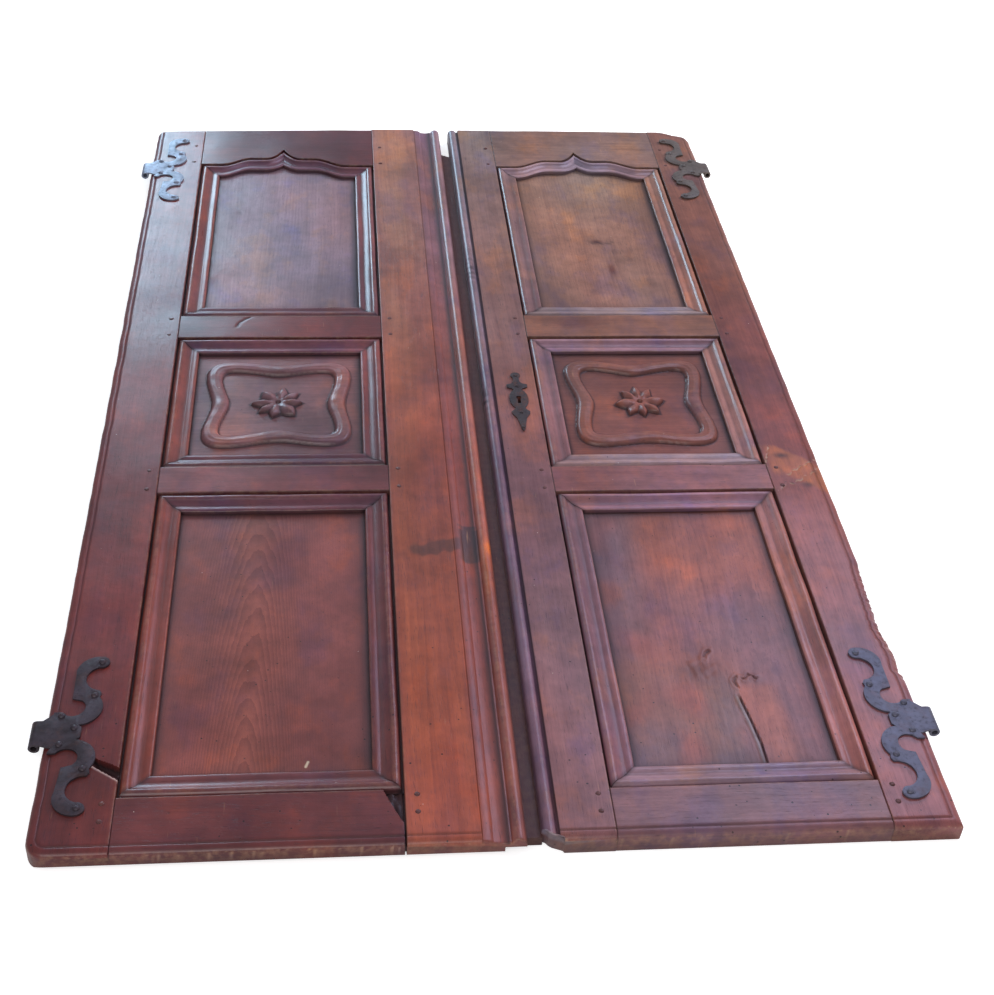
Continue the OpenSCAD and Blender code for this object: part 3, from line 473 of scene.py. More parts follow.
def base_tint(leaf, x, y, name):
    """Colour of a board: its own tone with some painted sheen, clouds of lighter and darker finish, painted
    sheen and shade in broad areas of the stiles, a painted bluish sheen towards the left leaf's top, and
    fresh specks at the foot.
    """
    cloud = waves(x, y, leaf.seed + 5, 260)[..., None] + 0.6 * waves(x, y, leaf.seed + 15, 95)[..., None]
    tint = np.array(TONES_AND_SHEEN.get(name, (1.0, 1.0, 1.0))) * (1 + 0.09 * cloud)
    tint = lean(tint, waves(x, 0.5 * y, leaf.seed + 25, 210), (0.07, 0.0, -0.05))
    tint = lean(tint, smooth(y / leaf.height), TOP_SHEEN_AND_TONE[leaf.side])
    if leaf.side == "right":
        tint = lean(tint, smooth((y - 1450) / 350), RIGHT_TOP)
    tint = sheen_and_shade_areas(y, tint, name)
    speckle = waves(x, y * 2, leaf.seed + 6, 6) * smooth(1 - y / 2.2)
    return blend(tint, 0.6 * smooth((speckle - 0.9) / 0.4), FRESH_SPECK)


def sheen_and_shade_areas(y, tint, name):
    """Lays the stiles' broad areas over a tint, the lighter bluer ones painted sheen and the darker ones
    painted shade: each is full about its middle and falls off steeply at its reach along the stile."""
    for middle, reach, factor in SHEEN_AND_SHADE_AREAS.get(name, ()):
        share = np.exp(-((y - middle) / reach) ** 4)
        tint = lean(tint, share, np.array(factor) - 1)
    return tint


def spots(x, y, tint, marks):
    """Lays soft spots of another tone over a tint: each is centre, radii and colour."""
    for centre, radii, colour in marks:
        tint = blend(tint, np.clip(1.3 * hump(x, y, centre, radii), 0, 1), colour)
    return tint


def edge_wear(*distances, reach=2.2):
    """Wear at the arrises: 1 on the edge, fading within a few millimetres."""
    return np.clip(sum(bell(np.maximum(d, 0), reach) for d in distances), 0, 1)


def line_soil(d):
    """Soft dirt along the scored line of the thumb moulding."""
    return 0.30 * bell(d - LINE_IN, 1.8)


def outer_distance(x, y, corner_r):
    """Distance from the leaf's outer edges near its round bottom corner."""
    round_d = corner_r - np.hypot(np.maximum(corner_r - x, 0), np.maximum(corner_r - y, 0))
    return np.where((x < corner_r) & (y < corner_r), round_d, 1e3)


# Breaks of the right leaf's hinge edge: how far the edge lies back, over the way down and the way up
TOP_BREAK = ([0, 0.6, 2, 6, 11, 16.5, 18, 19.5, 22, 28, 40], [56, 52, 47, 38, 30, 22, 13, 8, 4.5, 2.5, 0])
EDGE_CHIPS = ([254, 262, 270, 284, 306, 334, 350, 408, 470, 484], [0, 3, 3, 0.5, 2.5, 6.5, 7.5, 6, 2, 0])
CORNER_R = 25.0


def outer_edge(leaf, y):
    """How far the hinge edge is worn back at y. Left: the round bottom corner. Right: the broken top
    corner with its step, and the long chipped hollow above the lower hinge."""
    if leaf.side == "left":
        sunk = CORNER_R - np.sqrt(np.maximum(CORNER_R ** 2 - (CORNER_R - y) ** 2, 0))
        low = np.minimum(np.where(y < CORNER_R, sunk, 0), CORNER_R - 0.5)
    else:
        down = leaf.height - y
        low = np.interp(down, *TOP_BREAK)
        chips = np.interp(y, *EDGE_CHIPS)
        rough = waves(y, 0 * y, 31, 13) + 0.6 * waves(y, 0 * y, 32, 5)
        low = low + chips + 0.7 * rough * np.clip(chips / 3 + (down < 45), 0, 1)
    return np.maximum(low + 0.35 * waves(y, 0 * y, leaf.seed, 60), -0.3)


def hinge_stile(leaf, wood):
    """A hinge stile: its grid follows the worn hinge edge, and lies closer at the marks on its front."""
    door = bpy.context.scene.door_settings
    left = leaf.side == "left"
    top = np.concatenate([TOP_LINES, [7, 10, 14, 18, 22, 27, 33, 40]])
    gouge_y, chips_y, knot_y = np.arange(104, 152, 1.5), np.arange(250, 490, 2.2), np.arange(668, 780, 1.6)
    y = with_lines(np.concatenate([THUMB_LINES, np.arange(18, leaf.height - 42, 3.4), leaf.height - top]),
                   gouge_y if left else np.concatenate([chips_y, knot_y]))
    low = outer_edge(leaf, y)[:, None]
    offsets = np.concatenate([THUMB_LINES, np.linspace(THUMB_LINES[-1], leaf.hinge_w - 2.6, 24)[1:],
                              leaf.hinge_w - np.array([1.5, 0.8, 0.3, 0.0])])
    offsets = with_lines(offsets, np.arange(58, 94, 1.6) if left else np.arange(17, 84, 1.9))
    share = np.clip((offsets - 20) / (leaf.hinge_w - 20), 0, 1)
    x = np.minimum(low * (1 - share) + offsets, leaf.hinge_w)
    flat_y = np.broadcast_to(y[:, None], x.shape)
    yy = flat_y - leaf.top_wear(x) * smooth((flat_y - leaf.height + 60) / 60)
    side_d = np.maximum(np.minimum(x - low, yy), 0)
    if left:
        side_d = np.maximum(np.minimum(side_d, outer_distance(x, yy, CORNER_R)), 0)
    gap_d = leaf.hinge_w - x
    top_d = leaf.height - flat_y
    z = leaf.thick + door.unevenness * waves(x, yy, leaf.seed + 1, 170)
    z = z - thumb_drop(side_d) - round_drop(gap_d, FRONT_ROUND) - round_drop(side_d, FRONT_ROUND)
    z = z - round_drop(top_d, TOP_ROUND)
    tint = base_tint(leaf, x, yy, leaf.side + "_hinge_stile")
    soil = line_soil(side_d) + 0.5 * bell(gap_d, 1.2)
    wear = 0.5 * edge_wear(gap_d) + 0.6 * edge_wear(side_d, reach=1.8) + 0.3 * edge_wear(top_d)
    if left:
        tint, soil, z = gouge(x, yy, tint, soil, z)
    else:
        tint, z = bare_edge(x, yy, x - low, tint, z)
        tint, z = knot_patch(x, yy, tint, z)
    under_x = np.stack([x[:, -1], x[:, -1] - BACK_BEVEL, x[:, 0] + BACK_BEVEL, x[:, 0]], axis=1)
    under_z = np.maximum(np.broadcast_to(BACK_Z, under_x.shape), leaf.back_rise(y)[:, None])
    grain_args = dict(seed=leaf.seed + 2, slope=0.012, pith=(0.11, 0.06))
    rings = board_rings(leaf, "y", yy, x, z, (under_x, under_z), grain_args, wear, soil, tint)
    return make_object(leaf.side + "_stile_outer", [rings], wood)


def gouge(x, y, tint, soil, z):
    """The long gouge by the left leaf's lower hinge: it lies between two slanting lines, deepens
    towards the upper one and has a lip along the lower one, with a painted pale highlight on it."""
    top_line = 149 - 0.52 * (x - 58)
    bottom_line = 136 - 0.72 * (x - 60)
    inside = (y < top_line) & (y > bottom_line) & (x > 59)
    depth = np.clip((y - bottom_line) / np.maximum(top_line - bottom_line, 1), 0, 1)
    z = np.where(inside, z - smooth((x - 58) / 14) * (2.5 + 7.5 * smooth(depth * 1.6)), z)
    lip = bell(y - bottom_line + 1, 1.8) * (x > 60)
    # The lip's pale bluish colour is a painted highlight.
    return blend(tint, 0.75 * lip, (3.6, 9.0, 13.0)), np.where(inside, 0.6 + 0.4 * depth, soil), z


def bare_edge(x, y, edge_d, tint, z):
    """Bare pale wood along the chipped hollow in the right leaf's hinge edge."""
    bare = smooth((9 - edge_d) / 5) * smooth((y - 236) / 12) * smooth((440 - y) / 60)
    bare = bare * smooth(0.5 + 0.8 * waves(x, y, 33, 14))
    return blend(tint, 0.55 * bare, (2.0, 4.2, 6.0)), z - bare * (0.8 + 0.8 * waves(x, y, 34, 9))


KNOT_CRACKS = ([(-1, 712), (20, 690), (44, 672), (62, 668), (80, 650)],
               [(2, 728), (22, 716), (40, 702), (58, 690)], [(70, 765), (78, 742), (84, 722)])


def knot_patch(x, y, tint, z):
    """The knot in the right hinge stile: an orange patch across it, between pale ragged cracks."""
    top = 771 - 55 * (1 - np.clip(x / 62, 0, 1))
    bottom = top - 88
    inside = smooth((top - y) / 14) * smooth((y - bottom) / 22) * smooth((86 - x) / 14)
    inside = inside * (0.75 + 0.25 * smooth(0.5 + waves(x, y, 35, 30)))
    tint = blend(tint, inside, (1.9, 1.75, 0.95))
    wobble = 2.2 * waves(x, 0 * x, 36, 17)
    ragged = smooth(0.7 + waves(x, y, 37, 12))
    for points in KNOT_CRACKS:
        split = bell(path_distance(x, y + wobble, points), 1.3) * ragged
        z = z - 1.4 * split
        tint = blend(tint, 0.8 * split, (2.8, 6.5, 8.0))
    dark = 0.75 * hump(x, y, (56, 738), (13, 7)) + 0.6 * hump(x, y, (30, 664), (9, 6))
    return tint * (1 - np.clip(dark, 0, 0.85)[..., None]), z


TONGUE_W = 24.0
TONGUE_T = 14.0
COVER_W = 54.0  # the moulded part of the left meeting stile, from its step to the edge
REBATE_W = 26.0
QUIRK_IN = 21.0  # the right bead's quirk, from the stile's edge
BEAD_R = 9.4


def moulded_section(leaf):
    """Front of a meeting stile from its panel side to the meeting edge, as x and z, with the share of
    each point that lies on the flat part. Left: a step, a quarter round, a hollow and a bead.
    Right: a V quirk and a bead."""
    if leaf.side == "left":
        w, t = leaf.end_x, leaf.thick
        step = w - COVER_W
        flat = np.concatenate([leaf.meeting_x + NEAR_EDGE, np.linspace(leaf.meeting_x + 9, step - 5, 30),
                               step - NEAR_EDGE[:5][::-1]])
        a = np.radians(np.linspace(0, 90, 9))
        quarter = np.stack([step + 1.4 + 12.6 * np.sin(a), t - 6.0 + 4.7 * np.cos(a)])
        u = np.linspace(0.1, 1, 9)
        hollow = np.stack([step + 14.0 + 20.3 * u, t - 6.0 - 1.0 * np.sin(math.pi * u)])
        b = np.radians(np.linspace(-72, 90, 19))
        bead = np.stack([w - 9.6 + BEAD_R * np.sin(b), t - BEAD_R + BEAD_R * np.cos(b)])
        curve = np.concatenate([np.array([[step + 0.9], [t - 1.9]]), quarter, hollow, bead], axis=1)
    else:
        w, t = leaf.end_x - TONGUE_W, leaf.thick
        quirk = w - QUIRK_IN
        flat = np.concatenate([leaf.meeting_x + NEAR_EDGE, np.linspace(leaf.meeting_x + 8, quirk - 4, 11),
                               quirk - NEAR_EDGE[:5][::-1]])
        b = np.radians(np.linspace(-66, 90, 19))
        bead = np.stack([w - 9.5 + BEAD_R * np.sin(b), t - BEAD_R + BEAD_R * np.cos(b)])
        curve = np.concatenate([np.array([[quirk + 1.0], [t - 3.2]]), bead], axis=1)
    x = np.concatenate([flat, curve[0]])
    z = np.concatenate([np.full(len(flat), leaf.thick), curve[1]])
    return x, z, np.concatenate([np.ones(len(flat)), np.zeros(curve.shape[1])])


KEYHOLE_Y = 893
KEYHOLE_HALF_W = 4.5
KEYHOLE_DEPTH = 14
KEYHOLE_LINES = np.array([-11.2, -11, -10, -5, 0, 5, 10.5, 11.5, 11.7])
FOOT_BREAK = ([0, 3, 8, 13, 19, 24], np.array([-26, -24, -12, -7, 0, 1]))  # the edge's place over y


def keyhole_x(leaf):
    """The keyhole's middle, across the right leaf."""
    return leaf.end_x - TONGUE_W - 57


def meeting_stile(leaf, wood):
    """A meeting stile, swept from its moulded section, with the cover strip or the tongue."""
    door = bpy.context.scene.door_settings
    left = leaf.side == "left"
    y = np.concatenate([THUMB_LINES, np.arange(18, leaf.height - 6, 4.2), leaf.height - TOP_LINES])
    sx, sz, flat = moulded_section(leaf)
    if left:
        y = with_lines(y, np.arange(480, 590, 2.0))
    else:
        hole_x = keyhole_x(leaf)
        new_x = with_lines(sx, hole_x + np.array([-4.6, -4.4, 4.4, 4.6]))
        sx, sz, flat = new_x, np.interp(new_x, sx, sz), np.interp(new_x, sx, flat)
        y = with_lines(y, np.concatenate([KEYHOLE_Y + KEYHOLE_LINES, np.arange(0, 26, 1.6)]))
    x = np.broadcast_to(sx, (len(y), len(sx)))
    yy = np.broadcast_to(y[:, None], x.shape)
    top_d = leaf.height - yy
    curl = 1 - flat
    z = sz + flat * door.unevenness * waves(x, yy, leaf.seed + 3, 180)
    z = z + curl * 0.12 * waves(yy, x, leaf.seed + 4, 90)
    z = z - flat * thumb_drop(yy) - curl * round_drop(yy, TOP_ROUND) * 0.8 - round_drop(top_d, TOP_ROUND)
    z = z - round_drop(x - leaf.meeting_x, FRONT_ROUND)
    tint = base_tint(leaf, x, yy, leaf.side + "_meeting_stile")
    soil = 0.5 * bell(x - leaf.meeting_x, 1.2) + flat * line_soil(yy)
    wear = 0.5 * edge_wear(x - leaf.meeting_x) + 0.5 * edge_wear(yy, top_d, reach=1.6)
    low = leaf.meeting_x
    if left:
        tint, soil, wear = cover_edge(leaf, x, yy, tint, soil, wear)
        inner = leaf.end_x - REBATE_W
        back = [leaf.end_x - 0.1, leaf.end_x - 0.1, inner, inner, inner - BACK_BEVEL, low + BACK_BEVEL, low]
        under_x = np.broadcast_to(back, (len(y), len(back)))
        under_z = [TONGUE_T + 1.3, TONGUE_T + 0.5, TONGUE_T + 0.5, BACK_BEVEL, 0, 0, BACK_BEVEL]
        under_z = np.maximum(np.broadcast_to(under_z, under_x.shape), leaf.back_rise(y)[:, None])
    else:
        tint, soil, wear = bead_edge(leaf, x, yy, curl, tint, soil, wear)
        inside = (np.abs(x - hole_x) < KEYHOLE_HALF_W) & (yy > KEYHOLE_Y - 11.1) & (yy < KEYHOLE_Y + 11.6)
        z = np.where(inside, leaf.thick - KEYHOLE_DEPTH, z)
        # The keyhole's recess is filled with full painted shade.
        soil = np.where(inside, 1.0, soil)
        w = leaf.end_x - TONGUE_W
        broken = np.interp(y, FOOT_BREAK[0], w + FOOT_BREAK[1]) + 0.8 * waves(y, 0 * y, 71, 7) * (y < 19)
        hurt = x > broken[:, None]
        x = np.minimum(x, broken[:, None])
        tint = np.where(hurt[..., None], tint * np.array([1.8, 2.8, 2.4]), tint)
        high, low = np.minimum(w, broken), np.full(len(y), low)
        under_x = np.stack([high, high, high - BACK_BEVEL, low + BACK_BEVEL, low], axis=1)
        under_z = np.broadcast_to([TONGUE_T, *BACK_Z], under_x.shape)
    grain_args = dict(seed=leaf.seed + 7, slope=-0.01, pith=(0.02 if left else -0.12, 0.075))
    rings = board_rings(leaf, "y", y, x, z, (under_x, under_z), grain_args, wear, soil, tint)
    return make_object(leaf.side + "_stile_inner", [rings] if left else [rings, tongue(leaf)], wood)


def cover_edge(leaf, x, y, tint, soil, wear):
    """Tone, dirt and wear of the left meeting stile's step, hollow and bead, with painted shade deep in the
    hollow and on the bead's outer side, and a painted bluish sheen on the bead.
    """
    w = leaf.end_x
    step = w - COVER_W
    bead = smooth(x - (w - 21))
    # Dirt along the step, and painted shade deep in the hollow next to the bead.
    soil = soil + 0.35 * bell(x - step - 0.8, 0.9) + 0.85 * smooth((x - (w - 30)) / 9) * (1 - bead)
    # Painted shade on the bead's outer side, where it falls to the tongue.
    soil = soil + bead * 0.55 * smooth((x - (w - 5)) / 4)
    wear = wear + 0.45 * bead * bell(x - (w - 12), 3.0)
    tint = lean(tint, smooth((x - step) / 3) * (1 - bead), (-0.22, -0.18, 0.10))
    # Painted bluish sheen along the bead.
    tint = lean(tint, bead, (-0.06, 0.16, 0.55))
    return orange_stile(leaf, x, y, tint), soil, wear


def bead_edge(leaf, x, y, curl, tint, soil, wear):
    """Tone, dirt and wear of the right meeting stile's quirk and bead, with two soft stains, painted shade in
    the quirk and on the bead's outer side, and a painted bluish sheen on the bead.
    """
    w = leaf.end_x - TONGUE_W
    # Painted shade in the V quirk and on the bead's outer side.
    soil = soil + 0.8 * bell(x - (w - 20), 1.4) + 0.5 * smooth((x - (w - 4)) / 3)
    wear = wear + 0.25 * curl * bell(x - (w - 11), 2.5)
    stained = hump(x, y, (w - 9, 1308), (9, 42)) + hump(x, y, (w - 3, 897), (5, 36))
    soil = soil + 0.75 * curl * stained * smooth(0.6 + waves(x, y, 95, 17))
    # Painted bluish sheen on the bead.
    return lean(tint, curl, (-0.20, 0.0, 0.45)), soil, wear


def orange_stile(leaf, x, y, tint):
    """The left meeting stile's patches: rubbed orange areas with mauve borders, and the dark stain
    with ragged edges half way between the lower panels."""
    rub = smooth(0.55 + 0.55 * waves(x * 1.6, y * 0.35, 61, 150)) * smooth((x - leaf.meeting_x) / 14)
    rub = rub * smooth((leaf.end_x - 50 - x) / 16)
    tint = lean(tint, rub, (0.20, 0.26, 0.0))
    ragged = y + 5 * waves(x, y, 62, 22)
    smear = path_distance(x, y, [(478, 527), (508, 530), (546, 546)]) + 4 * waves(x, y, 64, 24)
    smear = 0.75 * smooth((18 - smear) / 9) * smooth((550 - x) / 8)
    block = smooth((x - 531) / 9) * smooth((566 - x) / 5)
    block = block * smooth((584 - ragged) / 9) * smooth((ragged - 497) / 12)
    tint = lean(tint, np.maximum(smear, block), (-0.66, -0.40, -0.18))
    return spots(x, y, tint, [((575, 528), (5, 13), (2.7, 2.3, 0.8)), ((568, 470), (4, 46), (2.0, 1.7, 0.9))])


def tongue(leaf):
    """The tongue along the right leaf's meeting edge, under the other leaf's cover edge. It is tinted and
    soiled dark all over as painted shadow under that edge.
    """
    w = leaf.end_x - TONGUE_W
    top_y = leaf.height - 78
    top_lines = top_y - np.array([20, 12, 6, 2, 0.6, 0])
    y = np.concatenate([[13, 13.4, 14.2], np.linspace(20, top_y - 30, 150), top_lines])
    offsets = np.array([-1.5, 0.5, 4, 9, 14, 19, 22, 23.2, 23.8, TONGUE_W])
    x = np.broadcast_to(w + offsets, (len(y), len(offsets)))
    yy = np.broadcast_to(y[:, None], x.shape)
    slant = smooth((yy - top_y + 60) / 60) * (offsets[::-1] / TONGUE_W) * 20
    yy = yy - np.clip(slant, 0, 20)
    z = TONGUE_T + 0.1 * waves(x, yy, 9, 80) - round_drop(w + TONGUE_W - x, 1.2)
    low, high = x[:, :1], x[:, -1:]
    a = np.concatenate([x, high, high - BACK_BEVEL, low + BACK_BEVEL, low], axis=1)
    b = np.concatenate([yy, yy[:, -1:], yy[:, -1:], yy[:, :1], yy[:, :1]], axis=1)
    c = np.concatenate([z, np.broadcast_to(BACK_Z, (len(y), 4))], axis=1)
    grain = grain_of(b, a - w, c, seed=leaf.seed + 8, slope=0.01, pith=(0.1, 0.07))
    # Painted shadow under the cover edge, darker towards the right leaf's bead.
    soil = np.clip(0.5 - 0.012 * (a - w), 0.2, 1)
    return Shell(leaf.world(np.stack([a, b, c], axis=-1)), grain, 0.15, soil, np.array([0.55, 0.42, 0.50]))


JOINT_GAP = 0.12
TORN_GAP = 2.0  # the open joint at the end of the left bottom rail
RAIL_LEVELS = {"left": (-0.2, 0.15, -0.1, 0.1), "right": (-0.25, -0.1, 0.15, -0.15)}
TORN_WEDGE = ([31, 36, 60, 84], [0, 3, 14, 24])  # the missing wedge's width, over y
RAIL_CRACK = [(193, 1116), (196, 1128), (204, 1138), (214, 1146)]
RAIL_SPOTS = [((190, 1120), (60, 22), (1.35, 1.75, 1.5)), ((330, 1125), (46, 18), (0.9, 1.1, 1.2))]


def rail(leaf, i, wood):
    """A rail. The top one follows the arch and the worn top; the left bottom one lacks a wedge."""
    door = bpy.context.scene.door_settings
    name = leaf.side + "_" + RAILS[i]
    torn = leaf.side == "left" and i == 0
    end = leaf.meeting_x - (TORN_GAP if torn else JOINT_GAP)
    x = lines(leaf.hinge_w + JOINT_GAP, end, 3.2, near=(0, 0.25, 0.6, 1.2, 2.4))
    if torn:
        x = with_lines(x, np.arange(end - 27, end, 1.3))
    if i == 3:
        x = with_lines(x, leaf.hinge_w + leaf.cusp_x() + np.array([-2.4, -1.2, -0.5, 0, 0.5, 1.2, 2.4]))
    low, high = leaf.rails[i]
    low = np.full(len(x), low) + (leaf.arch(x - leaf.hinge_w) if i == 3 else 0.0)
    high = high - (leaf.top_wear(x) if i == 3 else 0.0 * x)
    near_low = THUMB_LINES if i == 0 else NEAR_EDGE
    share = np.linspace(0, 1, 40 if torn else 20)[1:-1]
    start, stop = low + near_low[-1], high - NEAR_EDGE[-1]
    y = np.concatenate([low[:, None] + near_low, start[:, None] + (stop - start)[:, None] * share,
                        high[:, None] - NEAR_EDGE[::-1]], axis=1)
    xx = np.broadcast_to(x[:, None], y.shape)
    end_d = np.minimum(xx - x[0], x[-1] - xx)
    low_d, high_d = y - low[:, None], high[:, None] - y
    level = RAIL_LEVELS[leaf.side][i]
    z = leaf.thick + level + door.unevenness * waves(xx, y, leaf.seed + 20 + i, 150) - round_drop(end_d, 0.9)
    z = z - (thumb_drop(low_d) if i == 0 else 0) - round_drop(low_d, FRONT_ROUND)
    z = z - round_drop(high_d, TOP_ROUND if i == 3 else FRONT_ROUND)
    tint = base_tint(leaf, xx, y, name)
    soil = 0.7 * bell(end_d, 0.8) + 0.5 * bell(np.minimum(low_d, high_d), 1.2) * (i > 0)
    if i == 0:
        soil = soil + line_soil(low_d) + 0.4 * bell(high_d, 1.2)
    wear = 0.5 * edge_wear(low_d, high_d)
    shells = []
    if torn:
        inside = smooth((xx - (end - np.interp(y, *TORN_WEDGE))) / 1.2) * (y > TORN_WEDGE[0][0])
        z = z - inside * (9.5 + 1.0 * waves(xx * 4, y, 51, 40))
        soil = np.maximum(soil, inside * 0.85)
        shells.append(tenon_in_gap(leaf, end))
    if name == "left_upper_rail":
        split = bell(path_distance(xx, y, RAIL_CRACK), 1.5)
        z, soil = z - 1.2 * split, np.maximum(soil, split)
    if name == "right_upper_rail":
        tint = spots(xx, y, tint, RAIL_SPOTS)
    grain_args = dict(seed=leaf.seed + 30 + i, slope=0.02 + 0.01 * i, pith=(0.03 * (i - 1), 0.05))
    under = None
    if torn:
        under_y = np.stack([y[:, -1], y[:, -1] - BACK_BEVEL, y[:, 0] + FOOT_WEAR, y[:, 0]], axis=1)
        under = (under_y, np.broadcast_to([BACK_BEVEL, 0.0, 0.0, FOOT_WEAR], under_y.shape))
    shells.insert(0, board_rings(leaf, "x", x, y, z, under, grain_args, wear, soil, tint))
    return make_object(name.replace("_rail", "_crosspiece"), shells, wood)


def tenon_in_gap(leaf, end):
    """The tenon that shows dark in the open joint at the end of the left bottom rail."""
    x = np.linspace(end - 0.5, leaf.meeting_x - 0.1, 3)[:, None]
    y = np.broadcast_to([4.0, leaf.rails[0][1] - 2, leaf.rails[0][1] - 2, 4.0], (3, 4))
    z = np.broadcast_to([8.0, 8.0, 17.0, 17.0], (3, 4))
    points = np.stack([np.broadcast_to(x, (3, 4)), y, z], axis=-1)
    return Shell(leaf.world(points), np.zeros(3), 0.0, 0.9, np.array([0.5, 0.5, 0.5]))


# Panels

PANEL_REACH = 8.0
PANEL_EDGE_T = 6.0
PANEL_BEVEL = 40.0
MOULD_W = 37.5


def panel_rings(leaf, x, y, top, wear, soil, tint, grain_args, grain_axis="y"):
    """Closed rings of a panel along Y: the front over a grid, whose rows may follow the arch, and six
    points across its back, which is bevelled from thin edges to its full thickness."""
    low, high = x[:, :1], x[:, -1:]
    back_x = np.concatenate([high, high - PANEL_REACH, high - PANEL_REACH - PANEL_BEVEL,
                             low + PANEL_REACH + PANEL_BEVEL, low + PANEL_REACH, low], axis=1)
    back_y = follow(back_x, x, y)
    back_d = inner_distance(back_x, back_y, (x[0, 0] + PANEL_REACH, x[0, -1] - PANEL_REACH),
                            (y[0, 0] + PANEL_REACH, y[-1, 0] - PANEL_REACH))
    edge_z = leaf.panel_z - PANEL_EDGE_T
    back_z = edge_z - (edge_z - leaf.panel_back) * np.clip(back_d / PANEL_BEVEL, 0, 1)
    a = np.concatenate([x, back_x], axis=1)
    b = np.concatenate([y, back_y], axis=1)
    c = np.concatenate([top, back_z], axis=1)
    along, across = (b, a) if grain_axis == "y" else (a, b)
    grain = grain_of(along, across - np.mean(across), c, **grain_args)
    count = back_x.shape[1]
    colour = np.concatenate([tint, np.broadcast_to([0.9, 0.95, 0.9], (len(x), count, 3))], axis=1)
    return Shell(leaf.world(np.stack([a, b, c], axis=-1)), grain, padded(wear, x.shape, count, 0.1),
                 padded(soil, x.shape, count, 0.2), colour)


def recess_shade(x, y, x_range, y_range):
    """Painted shade on a panel beside its mouldings: strong close to them and faint further in."""
    d = np.maximum(inner_distance(x, y, x_range, y_range), 0)
    return 0.75 * bell(d, 5.0) + 0.25 * bell(d, 22.0)


# Panel tones; the bluer factors also carry painted sheen of the windows on the wax.
PANEL_TONES_AND_SHEEN = {("left", 0): (0.95, 0.82, 1.1), ("left", 2): (1.24, 1.9, 2.9),
               ("right", 0): (1.08, 1.24, 2.1), ("right", 2): (1.35, 1.82, 2.65)}
MARK_LINES = {  # extra grid lines across and along, as low, high and step, where a panel has fine marks
    ("left", 0): ((312, 330, 0.9), (125, 149, 1.1)), ("right", 0): ((150, 290, 1.8), (100, 330, 2.2))}


def plain_panel(leaf, row, wood):
    """A flat panel, a little hollow across; the top one's rows rise to the arch. Marks of its own are
    laid over it."""
    door = bpy.context.scene.door_settings
    low_y, high_y = leaf.openings[row]
    x0, x1 = leaf.hinge_w - PANEL_REACH, leaf.meeting_x + PANEL_REACH
    inner_x = (leaf.hinge_w + MOULD_W, leaf.meeting_x - MOULD_W)
    inner_y = (low_y + MOULD_W, high_y - MOULD_W)
    x = with_lines(np.linspace(x0, x1, 64), [inner_x[0] - 1, inner_x[0] + 4, inner_x[1] - 4, inner_x[1] + 1])
    y = np.linspace(low_y - PANEL_REACH, high_y + PANEL_REACH, 108)
    if (leaf.side, row) in MARK_LINES:
        across, along = MARK_LINES[leaf.side, row]
        x, y = with_lines(x, np.arange(*across)), with_lines(y, np.arange(*along))
    xx, yy = np.meshgrid(x, y)
    arched = row == 2
    if arched:
        rise = leaf.arch(np.clip(xx - leaf.hinge_w, 0, leaf.opening_w))
        yy = yy + smooth((yy - high_y + 90) / 98) * rise
        inner_y = (inner_y[0], 1e4)
    middle = (xx - x0) / (x1 - x0) * 2 - 1
    uneven = door.unevenness * 0.8 * waves(xx, yy, leaf.seed + 50 + row, 130)
    z = np.minimum(leaf.panel_z - 0.5 + 0.7 * middle ** 2 + uneven, leaf.panel_z + 0.15)
    soil = recess_shade(xx, yy, inner_x, inner_y)
    if arched:
        # Painted shadow of the arched head strip on the panel below it.
        soil = np.maximum(soil, 0.75 * bell(np.maximum(high_y + rise - MOULD_W - yy, 0), 6))
    tint = base_tint(leaf, xx, yy, "") * np.array(PANEL_TONES_AND_SHEEN[leaf.side, row])
    tint, soil, z = PANEL_MARKS[leaf.side, row](xx, yy, tint, soil, z)
    grain_args = dict(seed=leaf.seed + 60 + row, slope=0.03 - 0.03 * row, pith=(-0.06, 0.05))
    if (leaf.side, row) == ("left", 0):
        grain_args.update(slope=0.14, pith=(-0.028, 0.02), squeeze=2.0)
    shell = panel_rings(leaf, xx, yy, z, 0.0, soil, tint, grain_args)
    return make_object(f"{leaf.side}_{ROWS[row]}_field", [shell], wood)


def flamed_panel(x, y, tint, soil, z):
    """The left leaf's lower panel: a pale flame up its middle, and a small pale chip."""
    centre = 239 + 10 * waves(y, 0 * y, 81, 420)
    flame = bell(x - centre, 50 + 14 * waves(y, 0 * y, 82, 300))
    tint = lean(tint, flame, 0.36 * np.array([1.0, 1.1, 0.4]))
    chip = smooth((2.1 - path_distance(x, y, [(319, 133), (322, 141)])) / 1.2)
    return blend(tint, chip, (3.6, 9.5, 11.0)), soil, z


def rippled_panel(x, y, tint, soil, z):
    """The left leaf's top panel: ripples along and across the grain, and a short check."""
    z = z + 0.10 * waves(x * 3, y * 0.5, 83, 26) * smooth((300 - x) / 120)
    z = z + 0.10 * waves(x * 0.5, y * 3, 84, 30) * smooth((260 - x) / 100)
    split = bell(path_distance(x, y, [(176, 1528), (178, 1541), (176, 1556)]), 1.3)
    return tint, np.maximum(soil, split), z - 1.5 * split


def knotted_panel(x, y, tint, soil, z):
    """The right leaf's top panel: a cracked knot low down, and a dark streak."""
    crack = path_distance(x, y, [(222, 1432), (240, 1424), (252, 1432), (262, 1428), (268, 1436)])
    split = bell(crack, 2.2)
    dark = [((254, 1433), (9, 7), (0.5, 0.5, 0.5)), ((238, 1330), (5, 22), (0.75, 0.7, 0.7))]
    return spots(x, y, tint, dark), np.maximum(soil, 0.75 * split), z - 0.8 * split


SPLIT_LINE = [(213, 108), (214, 150), (219, 190), (224, 222), (226, 240)]
SPLIT_KNOTS = ([(216, 266), (206, 270), (196, 267)], [(226, 250), (229, 262), (224, 268)],
               [(260, 306), (256, 316), (251, 320)])


